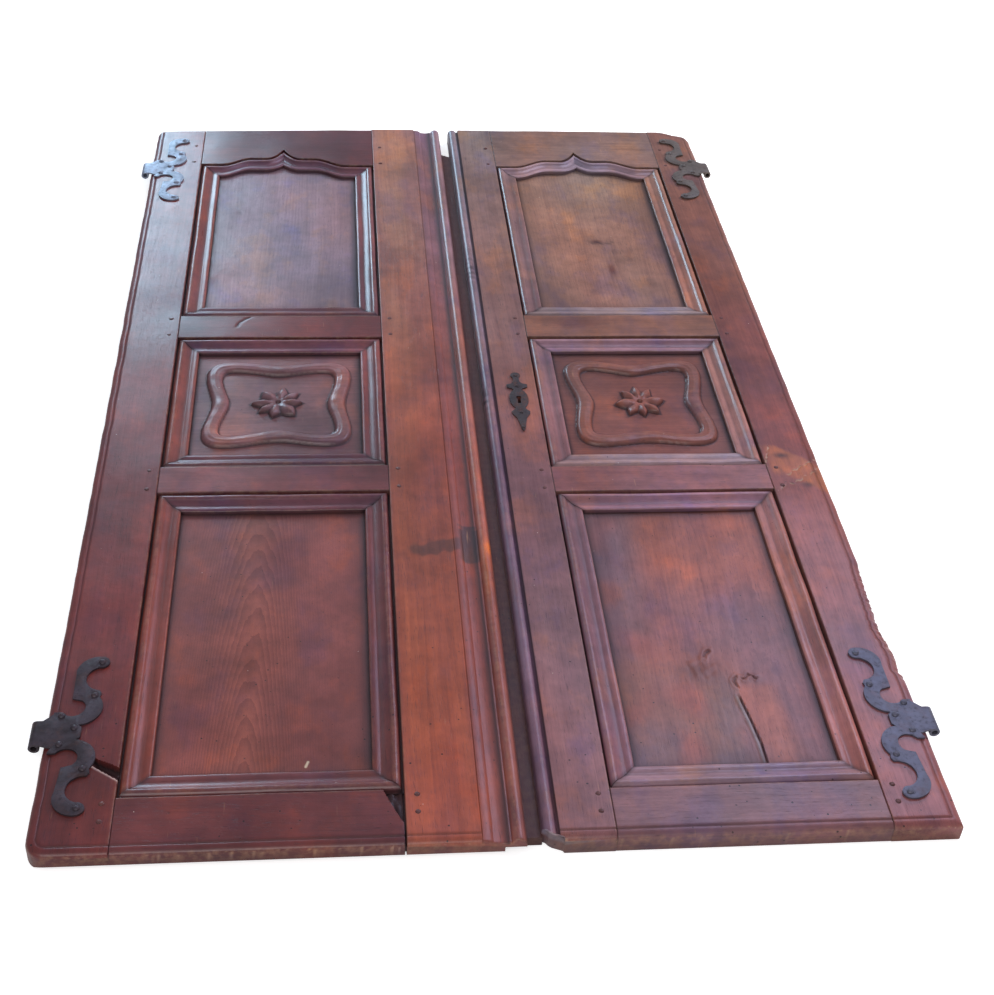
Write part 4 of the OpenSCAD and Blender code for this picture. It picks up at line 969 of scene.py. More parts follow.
def split_panel(x, y, tint, soil, z):
    """The right leaf's lower panel: orange areas and a painted mauve sheen, knots with rough ridges, and the
    open crack from the foot with a lifted bluish lip on its far side and a smooth orange piece beside it."""
    warm = smooth(0.25 + 0.6 * waves(x * 1.2, y * 0.7, 91, 260) + 0.7 * hump(x, y, (235, 520), (110, 150)))
    tint = lean(tint, warm, (0.42, 0.08, -0.36))
    # Painted mauve sheen of the right window on the wax, low down and towards the meeting stile.
    mauve_sheen = smooth((330 - y + 0.35 * (x - 240)) / 120) * smooth((x - 205) / 40)
    mauve_sheen = np.maximum(mauve_sheen, 0.8 * smooth((x - 290) / 60)) * smooth(0.8 + 0.6 * waves(x, y, 94, 90))
    tint = lean(tint, mauve_sheen, (-0.26, 0.12, 0.36))
    side = x - np.interp(y, [p[1] for p in SPLIT_LINE], [p[0] for p in SPLIT_LINE])
    gone = smooth((240 - y) / 12)
    split = bell(side - 1.2, 1.5) * gone
    lip = bell(side - 5, 2.6) * gone
    piece = smooth((-side - 0.5) / 1.5) * smooth((side + 62) / 30) * smooth((262 - y) / 16)
    tint = blend(tint, piece, (1.75, 1.6, 1.5))
    tint = blend(tint, 0.8 * lip, (1.4, 4.2, 7.5))
    z = z + 0.9 * lip - 3.0 * split - 0.7 * piece
    soil = np.maximum(soil, split)
    uneven_y = y + 2.0 * waves(x, y, 92, 12)
    for points in SPLIT_KNOTS:
        near = path_distance(x, uneven_y, points)
        ridge, hollow = bell(near - 4.0, 1.8), bell(near, 1.7)
        z = z + 0.5 * ridge - 1.0 * hollow
        soil = np.maximum(soil, 0.7 * hollow)
        tint = lean(tint, 0.2 * ridge, (0.0, 0.8, 1.4))
    rough = hump(x, y, (268, 285), (30, 24)) + 0.5 * hump(x, y, (245, 180), (20, 60))
    z = z + 0.22 * np.clip(rough, 0, 1) * waves(x, y, 93, 15)
    return tint, np.clip(soil + 0.3 * hump(x, y, (270, 284), (26, 16)), 0, 1), z


PANEL_MARKS = {("left", 0): flamed_panel, ("left", 2): rippled_panel,
               ("right", 0): split_panel, ("right", 2): knotted_panel}


RIBBON_SHARE = 0.23
RIBBON_WAIST = 0.12
RIBBON_H = 7.4
RIBBON_SIDE_GAP = 17.0
RIBBON_END_GAP = 27.0
ROSETTE_R = 41.0
ROSETTE_H = 8.0
# Carved panel tones; the bluer factor also carries painted sheen of the windows.
CARVED_TONES_AND_SHEEN = {"left": (0.95, 1.05, 1.5), "right": (1.0, 0.9, 1.15)}


def square_r(a, corner, waist):
    """Radius over the angle of a square of half width 1 with rounded corners and drawn-in sides."""
    drawn = 1 - waist * np.cos(2 * a) ** 2
    return drawn / (np.abs(np.cos(a)) ** corner + np.abs(np.sin(a)) ** corner) ** (1 / corner)


def carving(x, y, half, seed):
    """Height of the carving at x, y from its centre, and its painted shade at the ribbon's foot, round
    the rosette, between its petals and in its eye. The ribbon is a rounded band between two squares
    with drawn-in sides, whose half sizes are given. The rosette is a star of eight pointed petals with
    creases between them, hollowed to a drilled eye."""
    eighth = np.radians(np.arange(0, 46, 5))
    reach = np.max(square_r(eighth, 6, RIBBON_WAIST) * np.cos(eighth))
    u, v = x * reach / half[0], y * reach / half[1]
    a = np.arctan2(v, u)
    r = np.hypot(u, v) * (1 + 0.010 * np.sin(3 * a + seed) + 0.007 * np.sin(5 * a + 2 * seed))
    outer = square_r(a, 6, RIBBON_WAIST)
    inner = (1 - RIBBON_SHARE) * square_r(a, 10, 1.3 * RIBBON_WAIST)
    t = np.clip((r - inner) / (outer - inner), -0.6, 1.6) * 2 - 1
    band = RIBBON_H * np.clip(1 - np.abs(t) ** 2.8, 0, 1) ** 0.5
    band = band * (1 - 0.12 * bell(np.abs(t) - 0.3, 0.25) * np.abs(np.sin(2 * a)))
    far, turn = np.hypot(x, y), np.arctan2(y, x) + 0.10
    point = np.abs(((turn * 4 / math.pi + 0.18 * np.sin(2 * turn + seed)) % 1) * 2 - 1)
    petal = ROSETTE_R * (0.70 + 0.30 * point ** 1.4) * (1 + 0.05 * np.sin(3 * turn + seed))
    s = np.clip(far / petal, 0, 1.2)
    flower = ROSETTE_H * np.clip(1 - s ** 7, 0, 1) ** 0.5 * (0.55 + 0.45 * smooth((far - 5) / 17))
    flower = flower * (1 - 0.55 * (1 - point) ** 1.5 * smooth((far - 7) / 12)) * smooth((far - 2.8) / 2.5)
    # Painted shade: at the ribbon's foot, round the rosette, in its eye and between its petals.
    soil = 0.9 * bell(np.abs(t) - 1.08, 0.12) + 0.95 * bell(s - 1.05, 0.08) * (far < 50)
    soil = soil + 1.0 * bell(far, 3.6) + 0.75 * (1 - point) ** 3 * (s < 1) * smooth((far - 10) / 8)
    return np.maximum(band, 0) + flower, np.clip(soil, 0, 1)


def carved_panel(leaf, wood):
    """A middle panel with its ribbon and rosette; the grid lies closer over the rosette."""
    door = bpy.context.scene.door_settings
    low_y, high_y = leaf.openings[1]
    centre_x = leaf.hinge_w + leaf.opening_w / 2
    centre_y = (low_y + high_y) / 2
    x0, x1 = leaf.hinge_w - PANEL_REACH, leaf.meeting_x + PANEL_REACH
    y0, y1 = low_y - PANEL_REACH, high_y + PANEL_REACH
    fine = np.arange(-40, 41, 1.25)
    x = with_lines(np.arange(x0 + 1, x1 - 0.5, 1.9), np.concatenate([[x0, x1], centre_x + fine]))
    y = with_lines(np.arange(y0 + 1, y1 - 0.5, 1.9), np.concatenate([[y0, y1], centre_y + fine]))
    xx, yy = np.meshgrid(x, y)
    half = (leaf.opening_w / 2 - MOULD_W - RIBBON_SIDE_GAP, (high_y - low_y) / 2 - MOULD_W - RIBBON_END_GAP)
    relief, carved_shade = carving(xx - centre_x, yy - centre_y, half, leaf.seed)
    relief = relief * (1 + 0.035 * waves(xx, yy, leaf.seed + 9, 38))
    z = leaf.panel_z + relief + door.unevenness * 0.6 * waves(xx, yy, leaf.seed + 70, 110) - 0.3
    inner_x = (leaf.hinge_w + MOULD_W, leaf.meeting_x - MOULD_W)
    soil = np.maximum(recess_shade(xx, yy, inner_x, (low_y + MOULD_W, high_y - MOULD_W)), carved_shade)
    wear = np.clip((relief - 5.6) / 2.0, 0, 1) * 0.22
    tint = base_tint(leaf, xx, yy, "") * np.array(CARVED_TONES_AND_SHEEN[leaf.side])
    tint = lean(tint, np.clip(relief / 5, 0, 1), (0.10, 0.22, 0.30))
    grain_args = dict(seed=leaf.seed + 71, slope=0.03, pith=(0.0, 0.06))
    shell = panel_rings(leaf, xx, yy, z, wear, soil, tint, grain_args, "x")
    return make_object(leaf.side + "_carved_field", [shell], wood, smooth_angle=60)


# Mouldings round the panels

def mould_section():
    """Section of the strips, from the frame inwards, as w and height above the panel: a sunk quirk,
    an outer round, a hollow that runs out of it, and a lower inner round."""
    quirk, r, high = 2.6, 7.0, 11.5
    round_x, round_z = quirk + r, high - r
    stop = 50
    a = np.radians(np.linspace(-90, stop, 15))
    outer = np.stack([round_x + r * np.sin(a), round_z + r * np.cos(a)])
    stop_x, stop_z = outer[:, -1]
    nose_w, valley, nose_h, nose_edge = 11.0, 5.4, 6.4, 5.2
    nose_x = MOULD_W - nose_w
    t = np.linspace(0.12, 1, 8)
    hollow = np.stack([stop_x + (nose_x - stop_x) * t, valley + (stop_z - valley) * (1 - t) ** 1.8])
    u = np.linspace(0.08, 1, 12)
    nose_z = np.where(u < 0.6, valley + (nose_h - valley) * np.sin(np.radians(150 * u)),
                      nose_h - (nose_h - nose_edge) * ((u - 0.6) / 0.4) ** 2)
    nose = np.stack([nose_x + nose_w * u - 0.5 * (u > 0.99), nose_z])
    foot, lip = [0.06, 0.06, quirk - 0.1], [MOULD_W - 0.1, MOULD_W, MOULD_W]
    w = np.concatenate([foot, outer[0], hollow[0], nose[0], lip])
    z = np.concatenate([[0.0, 2.2, 2.0], outer[1], hollow[1], nose[1], [nose_edge - 0.6, 1.2, 0.0]])
    return w, z


# Strip tones; the bluer factors also carry painted sheen of the windows and sky on the wax.
STRIP_TONES_AND_SHEEN = {
    ("left", "hinge"): (0.98, 0.70, 0.75), ("left", "meeting"): (0.84, 0.68, 1.0),
    ("left", "foot"): (0.69, 0.71, 1.25), ("left", "head"): (0.80, 0.78, 1.5),
    ("right", "hinge"): (1.83, 2.25, 3.4), ("right", "meeting"): (1.1, 1.55, 3.2),
    ("right", "foot"): (1.55, 3.0, 5.8), ("right", "head"): (1.6, 2.35, 5.4)}
MITRE_GAP = 0.22


def strip_stations(leaf, w, length, arched):
    """Places along a strip for each point of its section: its ends are true mitres, because a point at
    depth w starts w later and stops w earlier. The arched strip has a station at the cusp."""
    start = w + MITRE_GAP
    if not arched:
        t = np.linspace(0, 1, max(24, int(length / 8)))[:, None]
        return start + t * (length - 2 * w - 2 * MITRE_GAP)
    cusp_x = leaf.cusp_x()
    cusp = cusp_x / length
    t = np.linspace(0, 1, 56)
    t = np.unique(np.concatenate([cusp * t ** 0.9, cusp + (1 - cusp) * t]))[:, None]
    return np.where(t <= cusp, start + (cusp_x - w - MITRE_GAP) * (t / cusp),
                    cusp_x + (length - cusp_x - w - MITRE_GAP) * ((t - cusp) / (1 - cusp)))


def moulding(leaf, row, edge, wood):
    """One strip along an edge of an opening. The head strip of the top opening adds the arch's rise."""
    w, height = mould_section()
    low_y, high_y = leaf.openings[row]
    length = leaf.opening_w if edge in ("foot", "head") else high_y - low_y
    arched = edge == "head" and row == 2
    seed = leaf.seed + 100 + 10 * row + EDGES.index(edge)
    along = strip_stations(leaf, w, length, arched)
    inward = np.broadcast_to(w, along.shape)
    drift = 0.25 * waves(along, 0 * along, seed, 160)
    z = leaf.panel_z + height * (1 + 0.03 * waves(along, inward * 3, seed + 1, 120)) + drift * (height > 0.5)
    z = np.where(height > 0.5, z, leaf.panel_z - 0.5)
    inward = inward + 0.25 * waves(along, 0 * along, seed + 2, 220) * (inward > 1)
    if edge == "hinge":
        x, y = leaf.hinge_w + inward, low_y + along
    elif edge == "meeting":
        x, y = leaf.meeting_x - inward, low_y + along
    elif edge == "foot":
        x, y = leaf.hinge_w + along, low_y + inward
    else:
        rise = leaf.arch(along, 1 - 0.5 * inward / MOULD_W) if arched else 0.0
        x, y = leaf.hinge_w + along, high_y - inward + rise - (0.15 if arched else 0)
    end_d = np.minimum(along - w, length - w - along)
    # Painted shade in the sunk quirk, at the foot of the outer round, in the hollow and on the inner drop
    # face; the ends darken as mitre joints.
    soil = 0.95 * (inward < 2.3) + 0.6 * bell(inward - 2.6, 1.0) * (height < 7)
    soil = soil + 0.3 * bell(inward - 24.5, 3.0) + 0.55 * (inward > MOULD_W - 0.4) * (height < 5)
    soil = np.clip(soil + 0.6 * bell(np.maximum(end_d, 0), 1.2), 0, 1)
    wear = 0.25 * bell(height - 11.3, 1.0) + 0.35 * bell(inward - 36.6, 0.9)
    tint = base_tint(leaf, x, y, "") * np.array(STRIP_TONES_AND_SHEEN[leaf.side, edge])
    grain = grain_of(along, inward, z, seed=seed, slope=0.008, pith=(0.2, 0.08), wander=0.002)
    shell = Shell(leaf.world(np.stack([x, y, z], axis=-1)), grain, wear, soil, tint)
    return make_object(f"{leaf.side}_{ROWS[row]}_strip_{edge}", [shell], wood, smooth_angle=50)


# Turned and forged small parts

def revolve(profile, centres, segments, seed, bump=0.0):
    """Closed shells from a profile of (radius, height), turned about upright axes at the centres,
    each a little uneven as hand work is."""
    rng = np.random.default_rng(seed)
    turn = np.linspace(0, 2 * math.pi, segments, endpoint=False)
    out = []
    for centre in centres:
        r = profile[:, :1] * (1 + bump * np.sin(turn * rng.integers(2, 5) + rng.uniform(0, 6)))
        lean = rng.uniform(-1, 1, 2) * bump * 2
        x = centre[0] + r * np.cos(turn) + lean[0] * (profile[:, 1:] > 0.2)
        y = centre[1] + r * np.sin(turn) + lean[1] * (profile[:, 1:] > 0.2)
        z = centre[2] + np.broadcast_to(profile[:, 1:], x.shape)
        out.append(np.stack([x, y, z], axis=-1))
    return out


def peg_set(leaf, wood):
    """Wooden pegs through the tenons, each cut off a little proud of the frame."""
    xs = (leaf.hinge_w - 15, leaf.meeting_x + 15)
    ys = [leaf.rails[0][1] - 36, leaf.rails[0][1] - 9, leaf.rails[1][0] + 9, leaf.rails[1][1] - 9,
          leaf.rails[2][0] + 9, leaf.rails[2][1] - 9, leaf.rails[3][0] + 9, leaf.rails[3][1] - 85]
    centres = [(x, y, leaf.thick) for x in xs for y in ys]
    profile = np.array([[0.02, 0.9], [2.3, 0.8], [3.3, 0.4], [3.8, -0.3], [4.0, -1], [4.0, -20], [0.02, -20]])
    # The pegs' sides darken towards and below the frame's face: painted shade round each proud end.
    soil = np.array([0.35, 0.35, 0.55, 1, 1, 1, 1])[:, None]
    shells = []
    for i, points in enumerate(revolve(profile, centres, 16, leaf.seed, 0.05)):
        grain = grain_of(points[..., 2], points[..., 0] - centres[i][0], points[..., 1] - centres[i][1],
                         seed=leaf.seed + 300 + i, slope=0, pith=(0.01, 0.01))
        shells.append(Shell(leaf.world(points), grain, 0.1, soil, np.array([0.8, 0.75, 0.9])))
    return make_object(leaf.side + "_peg_ends", shells, wood)


NAIL_SPOTS = ((17.5, 28), (20, -20), (35, 7), (54, 62), (53, -60), (57, 121), (53, -121))  # from the neck


def nail_set(name, leaf, centres, head_r, shank_r, shank_l, iron, seed):
    """Forged nails: a low uneven dome on a shank."""
    a = np.radians(np.array([2, 18, 36, 54, 70, 84]))
    dome = np.stack([head_r * np.sin(a), 0.62 * head_r * np.cos(a)], axis=1)
    foot = np.array([[head_r, 0.0], [shank_r, -0.02], [shank_r, -shank_l], [0.02, -shank_l]])
    shells = [Shell(leaf.world(points), np.zeros(3), 0.0, 0.0, np.ones(3))
              for points in revolve(np.concatenate([dome, foot]), centres, 16, seed, 0.05)]
    return make_object(name, shells, iron, smooth_angle=60)


def hinge_centre(leaf, which):
    """Centre of a hinge's neck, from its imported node: half way between its limbs' ends."""
    low, high = leaf.span(which + "_hinge")[2:]
    return (low + high) / 2


def forged_copy(node, name, iron, width):
    """A copy of a packed iron piece with its double points merged and its edges rounded."""
    copy = frame["nodes"][node].copy()
    copy.data = frame["nodes"][node].data.copy()
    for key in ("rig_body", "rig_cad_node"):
        if key in copy:
            del copy[key]
    copy.name = name
    copy.parent = None
    bm = bmesh.new()
    bm.from_mesh(copy.data)
    bmesh.ops.remove_doubles(bm, verts=bm.verts, dist=2e-6)
    bmesh.ops.dissolve_limit(bm, angle_limit=math.radians(1), verts=bm.verts, edges=bm.edges)
    bm.to_mesh(copy.data)
    bm.free()
    copy.data.materials.clear()
    copy.data.materials.append(iron)
    bpy.context.scene.collection.objects.link(copy)
    bevel = copy.modifiers.new("rounded", "BEVEL")
    bevel.width = width * MM
    bevel.segments = 3
    bevel.limit_method = "ANGLE"
    bevel.angle_limit = math.radians(50)
    bevel.use_clamp_overlap = True
    apply_modifiers(copy)
    copy.data.shade_smooth()
    copy.data.set_sharp_from_angle(angle=math.radians(45))
    return copy


def apply_modifiers(obj):
    """Puts an object's evaluated mesh in place of its own, and clears its modifiers."""
    graph = bpy.context.evaluated_depsgraph_get()
    made = bpy.data.meshes.new_from_object(obj.evaluated_get(graph))
    obj.modifiers.clear()
    obj.data = made


# Materials

class Nodes:
    """Short calls for building a node tree."""

    def __init__(self, tree):
        self.tree = tree

    def add(self, kind, **inputs):
        """A new node, with the properties that it has set."""
        node = self.tree.nodes.new(kind)
        for key, value in inputs.items():
            if key in node.bl_rna.properties:
                setattr(node, key, value)
        return node

    def feed(self, socket, value):
        """Links an output to a socket, or sets the socket to a value."""
        if isinstance(value, bpy.types.NodeSocket):
            self.tree.links.new(value, socket)
        else:
            socket.default_value = value

    def attribute(self, name, output="Fac"):
        """One of the mesh's surface values."""
        node = self.add("ShaderNodeAttribute", attribute_type="GEOMETRY", attribute_name=name)
        return node.outputs[output]

    def math(self, operation, a, b=0.0, clamp=False):
        node = self.add("ShaderNodeMath", operation=operation, use_clamp=clamp)
        self.feed(node.inputs[0], a)
        self.feed(node.inputs[1], b)
        return node.outputs[0]

    def times(self, a, b, clamp=False):
        """The product of two values."""
        return self.math("MULTIPLY", a, b, clamp)

    def vector(self, operation, a, b):
        node = self.add("ShaderNodeVectorMath", operation=operation)
        self.feed(node.inputs[0], a)
        self.feed(node.inputs[1], b)
        return node.outputs[0]

    def noise(self, vector, scale, detail=3.0, roughness=0.55, output="Fac"):
        node = self.add("ShaderNodeTexNoise")
        self.feed(node.inputs["Vector"], vector)
        node.inputs["Scale"].default_value = scale
        node.inputs["Detail"].default_value = detail
        node.inputs["Roughness"].default_value = roughness
        return node.outputs[output]

    def cells(self, vector, scale):
        """Distance to the nearest of random points."""
        node = self.add("ShaderNodeTexVoronoi")
        self.feed(node.inputs["Vector"], vector)
        node.inputs["Scale"].default_value = scale
        return node.outputs["Distance"]

    def axis(self, vector, name):
        """One of a vector's three numbers."""
        node = self.add("ShaderNodeSeparateXYZ")
        self.feed(node.inputs[0], vector)
        return node.outputs[name]

    def window(self, value, low, high, to_low=0.0, to_high=1.0):
        """Maps low..high to to_low..to_high, held at both ends."""
        node = self.add("ShaderNodeMapRange", clamp=True)
        self.feed(node.inputs["Value"], value)
        for key, number in (("From Min", low), ("From Max", high), ("To Min", to_low), ("To Max", to_high)):
            node.inputs[key].default_value = number
        return node.outputs["Result"]

    def mix(self, share, a, b, blend="MIX"):
        """Lays a share of colour b over colour a."""
        node = self.add("ShaderNodeMix", data_type="RGBA", blend_type=blend)
        self.feed(node.inputs[0], share)
        for socket, value in ((node.inputs[6], a), (node.inputs[7], b)):
            self.feed(socket, value if isinstance(value, bpy.types.NodeSocket) else (*value[:3], 1))
        return node.outputs[2]

    def gray(self, value):
        """A grey colour of that value."""
        node = self.add("ShaderNodeCombineColor")
        for socket in node.inputs[:3]:
            self.feed(socket, value)
        return node.outputs[0]

    def bump(self, height, strength, distance, normal=None):
        """Normal of a relief, over another normal if one is given."""
        node = self.add("ShaderNodeBump")
        node.inputs["Strength"].default_value = strength
        node.inputs["Distance"].default_value = distance
        self.feed(node.inputs["Height"], height)
        if normal is not None:
            self.feed(node.inputs["Normal"], normal)
        return node.outputs[0]


def new_material(name):
    """A new material, with its short node calls and its shader."""
    material = bpy.data.materials.new(name)
    material.use_nodes = True
    return material, Nodes(material.node_tree), material.node_tree.nodes["Principled BSDF"]


def wood_material(name, polish=1.0, ring_share=0.08):
    """Old stained and waxed wood. Year rings are cylinders round the pith, cut by the board; fibres and
    pores are noises drawn out along the grain; grime with painted shade, worm holes painted near black
    as the shade in them, scratches and pale specks lie on top. The finish is blotchy: worn through to a
    warm orange in places, and bloomed to mauve in others."""
    wood = bpy.context.scene.wood_settings
    material, n, shader = new_material(name)
    place = n.add("ShaderNodeTexCoord").outputs["Object"]
    grain = n.attribute("grain", "Vector")
    tint = n.attribute("tint", "Vector")
    wear, soil = n.attribute("wear"), n.attribute("soil")
    slow = n.vector("MULTIPLY", grain, (1.4, 9.0, 9.0))
    warp = n.vector("SUBTRACT", n.noise(slow, 1.0, 2.5, 0.5, "Color"), (0.5, 0.5, 0.5))
    bent = n.vector("ADD", grain, n.vector("MULTIPLY", warp, (0.0, 0.030, 0.030)))
    rings = n.add("ShaderNodeTexWave", wave_type="RINGS", rings_direction="X", wave_profile="SAW")
    n.feed(rings.inputs["Vector"], bent)
    rings.inputs["Scale"].default_value = 2 * math.pi / 20 / wood.ring_width
    rings.inputs["Distortion"].default_value = 1.6
    rings.inputs["Detail"].default_value = 2.0
    rings.inputs["Detail Scale"].default_value = 1.5
    fibre = n.noise(n.vector("MULTIPLY", bent, (7.0, 260.0, 260.0)), 1.0, 4.0, 0.6)
    streak = n.noise(n.vector("MULTIPLY", bent, (2.2, 46.0, 46.0)), 1.0, 3.0, 0.55)
    pores = n.noise(n.vector("MULTIPLY", bent, (55.0, 1300.0, 1300.0)), 1.0, 1.0, 0.5)
    pore = n.window(pores, 0.62, 0.74)
    cloud = n.noise(place, 5.5, 4.0, 0.6)
    mottle = n.noise(place, 38.0, 3.0, 0.6)
    from_pith = n.math("ABSOLUTE", n.axis(grain, "Y"))
    ring_window = n.window(from_pith, 0.09, 0.20, ring_share, 0.3 * ring_share)
    ring = n.times(rings.outputs["Fac"], ring_window)
    figure = n.math("ADD", ring, n.math("ADD", n.times(fibre, 0.36), n.times(streak, 0.52)))
    figure = n.window(figure, 0.30 + 0.3 * ring_share, 0.62 + 0.9 * ring_share, 0.08, 0.88)
    colour = n.mix(figure, wood.early_wood, wood.late_wood)
    colour = n.mix(n.times(pore, 0.55), colour, wood.grime_and_shade)
    colour = n.mix(1.0, colour, tint, "MULTIPLY")
    dusk = n.window(cloud, 0.35, 0.72, 0.78, 1.16)
    colour = n.mix(1.0, colour, n.gray(dusk), "MULTIPLY")
    colour = n.mix(1.0, colour, n.gray(n.window(mottle, 0.3, 0.7, 0.84, 1.14)), "MULTIPLY")
    blotch = n.noise(n.vector("MULTIPLY", place, (1.0, 0.6, 1.0)), 13.0, 5.0, 0.62)
    for start, stop, change in ((0.54, 0.66, (1.34, 1.14, 0.80)), (0.46, 0.34, (0.76, 0.84, 1.22))):
        changed = n.mix(1.0, colour, change, "MULTIPLY")
        colour = n.mix(n.window(blotch, start, stop, 0.0, 0.85), colour, changed)
    rub = n.times(wear, n.window(n.noise(place, 90.0, 3.0, 0.65), 0.42, 0.68), clamp=True)
    colour = n.mix(n.times(rub, 0.75), colour, wood.worn_wood)
    scratch_place = n.vector("MULTIPLY", place, (240.0, 22.0, 60.0))
    scratch = n.window(n.noise(scratch_place, 1.0, 2.0, 0.5), 0.70, 0.76)
    scratch = n.times(scratch, n.window(n.noise(place, 9.0, 2.0), 0.52, 0.66))
    colour = n.mix(n.times(scratch, 0.35), colour, wood.worn_wood)
    speck = n.math("LESS_THAN", n.cells(place, 31.0), 0.022)
    speck = n.times(speck, n.window(n.noise(place, 6.0, 2.0), 0.46, 0.56))
    colour = n.mix(n.times(speck, 0.8), colour, (0.72, 0.66, 0.60))
    # The soil layer lays grime, and painted shade in quirks, hollows and recesses.
    grime_and_shade = n.times(soil, n.window(mottle, 0.2, 0.62, 0.72, 1.0), clamp=True)
    colour = n.mix(grime_and_shade, colour, wood.grime_and_shade)
    # Worm holes: only dents in the bump, painted near black as the shade inside them.
    worm = n.math("LESS_THAN", n.cells(place, 62.0), n.window(n.axis(place, "Y"), -0.85, 0.1, 0.085, 0.045))
    worm = n.times(worm, n.window(n.noise(place, 7.0, 2.0), 0.42, 0.56))
    colour = n.mix(n.times(worm, 0.92), colour, (0.010, 0.006, 0.006))
    n.feed(shader.inputs["Base Color"], colour)
    rough = n.window(n.math("ADD", n.times(cloud, 0.6), n.times(fibre, 0.4)), 0.3, 0.7,
                     wood.gloss_roughness * polish - 0.06, wood.gloss_roughness * polish + 0.12)
    rough = n.math("ADD", rough, n.times(grime_and_shade, 0.28), clamp=True)
    n.feed(shader.inputs["Roughness"], rough)
    shader.inputs["Coat Weight"].default_value = 0.25
    shader.inputs["Coat Roughness"].default_value = 0.22
    shader.inputs["Specular IOR Level"].default_value = 0.5
    relief = n.math("SUBTRACT", n.times(figure, -0.35), n.times(pore, 0.5))
    relief = n.math("SUBTRACT", relief, n.times(worm, 3.0))
    relief = n.math("SUBTRACT", relief, n.times(scratch, 0.4))
    fine = n.bump(relief, 0.45, 0.00035)
    dents = n.bump(n.noise(place, 24.0, 4.0, 0.6), 0.35, 0.0016, fine)
    n.feed(shader.inputs["Normal"], dents)
    return material


def iron_material(name, rust=0.2, dull=False):
    """Forged iron under old wax: hammered dents, rubbed high spots and brown bloom. Unless it is dull,
    it is dark at the left leaf's foot, bright at its top, and bluish on the right leaf: the bright top
    and the bluish right are painted reflections of the windows."""
    iron = bpy.context.scene.iron_settings
    material, n, shader = new_material(name)
    place = n.add("ShaderNodeTexCoord").outputs["Object"]
    broad = n.noise(place, 26.0, 4.0, 0.6)
    fine = n.noise(place, 210.0, 3.0, 0.6)
    if dull:
        dark, rubbed_and_sheen = iron.dark, (0.10, 0.085, 0.085)
    else:
        # Colours by place: painted window reflections, bright and bluish at the left leaf's top, bluish on
        # the right leaf's lower iron.
        right = n.window(n.axis(place, "X"), -0.1, 0.1)
        high = n.window(n.axis(place, "Y"), 0.3, 0.7)
        dark = n.mix(right, n.mix(high, iron.dark, (0.15, 0.17, 0.22)),
                     n.mix(high, (0.11, 0.11, 0.155), (0.10, 0.085, 0.075)))
        rubbed_and_sheen = n.mix(right, n.mix(high, (0.11, 0.09, 0.11), (0.42, 0.47, 0.58)),
                       n.mix(high, iron.bright, (0.22, 0.19, 0.17)))
    colour = n.mix(n.window(broad, 0.35, 0.68), dark, rubbed_and_sheen)
    bloom = n.times(n.window(n.noise(place, 60.0, 4.0, 0.7), 0.5, 0.7), rust)
    colour = n.mix(bloom, colour, (0.17, 0.065, 0.04))
    colour = n.mix(n.window(fine, 0.56, 0.72, 0.0, 0.5), colour, iron.dark)
    n.feed(shader.inputs["Base Color"], colour)
    n.feed(shader.inputs["Metallic"], n.window(broad, 0.3, 0.7, 0.35, 0.7))
    n.feed(shader.inputs["Roughness"], n.window(n.math("ADD", broad, fine), 0.7, 1.3, 0.36, 0.6))
    hammered = n.bump(n.cells(place, 150.0), 0.30, 0.0006)
    pitted = n.bump(fine, 0.35, 0.0003, hammered)
    n.feed(shader.inputs["Normal"], pitted)
    return material


FINISHES = {
    "waxed frame wood": (wood_material, 1.0),
    "waxed panel wood": (wood_material, 1.05, 0.12),
    "flamed panel wood": (wood_material, 1.0, 0.52),
    "polished strip wood": (wood_material, 0.85),
    "forged iron": (iron_material, 0.25),
    "lock iron": (iron_material, 0.7, True),
}


def finish(name):
    """One of the finishes, made at its first use."""
    maker, *values = FINISHES[name]
    return bpy.data.materials.get(name) or maker(name, *values)


# Operators

class DOOR_OT_frames(bpy.types.Operator):
    """Builds the stiles and rails of both leaves"""
    bl_idname = "door.frames"
    bl_label = "Stiles and rails"

    def execute(self, context):
        wood = finish("waxed frame wood")
        for leaf in LEAVES:
            stand_for(hinge_stile(leaf, wood), "frame_wood", leaf.side + "_hinge_stile")
            nodes = [leaf.side + "_meeting_stile"] + (["left_cover_strip"] if leaf.side == "left" else [])
            stand_for(meeting_stile(leaf, wood), "frame_wood", *nodes)
            for i, name in enumerate(RAILS):
                stand_for(rail(leaf, i, wood), "frame_wood", leaf.side + "_" + name)
        return {"FINISHED"}


class DOOR_OT_panels(bpy.types.Operator):
    """Builds the plain and the carved panels"""
    bl_idname = "door.panels"
    bl_label = "Panels"

    def execute(self, context):
        wood = finish("waxed panel wood")
        for leaf in LEAVES:
            low_wood = finish("flamed panel wood") if leaf.side == "left" else wood
            stand_for(plain_panel(leaf, 0, low_wood), "panel_wood", leaf.side + "_bottom_panel")
            stand_for(plain_panel(leaf, 2, wood), "panel_wood", leaf.side + "_top_panel")
            stand_for(carved_panel(leaf, wood), "panel_wood", leaf.side + "_middle_panel")
        return {"FINISHED"}


class DOOR_OT_mouldings(bpy.types.Operator):
    """Builds the mitred strips round the panels"""
    bl_idname = "door.mouldings"
    bl_label = "Mouldings"

    def execute(self, context):
        wood = finish("polished strip wood")
        for leaf in LEAVES:
            for row, name in enumerate(ROWS):
                for edge in EDGES:
                    node = f"{leaf.side}_{name}_moulding_{edge}"
                    stand_for(moulding(leaf, row, edge, wood), "moulding_wood", node)
        return {"FINISHED"}


class DOOR_OT_pegs(bpy.types.Operator):
    """Builds the wooden pegs"""
    bl_idname = "door.pegs"
    bl_label = "Pegs"

    def execute(self, context):
        for leaf in LEAVES:
            stand_for(peg_set(leaf, finish("waxed frame wood")), "peg_wood", leaf.side + "_pegs")
        return {"FINISHED"}


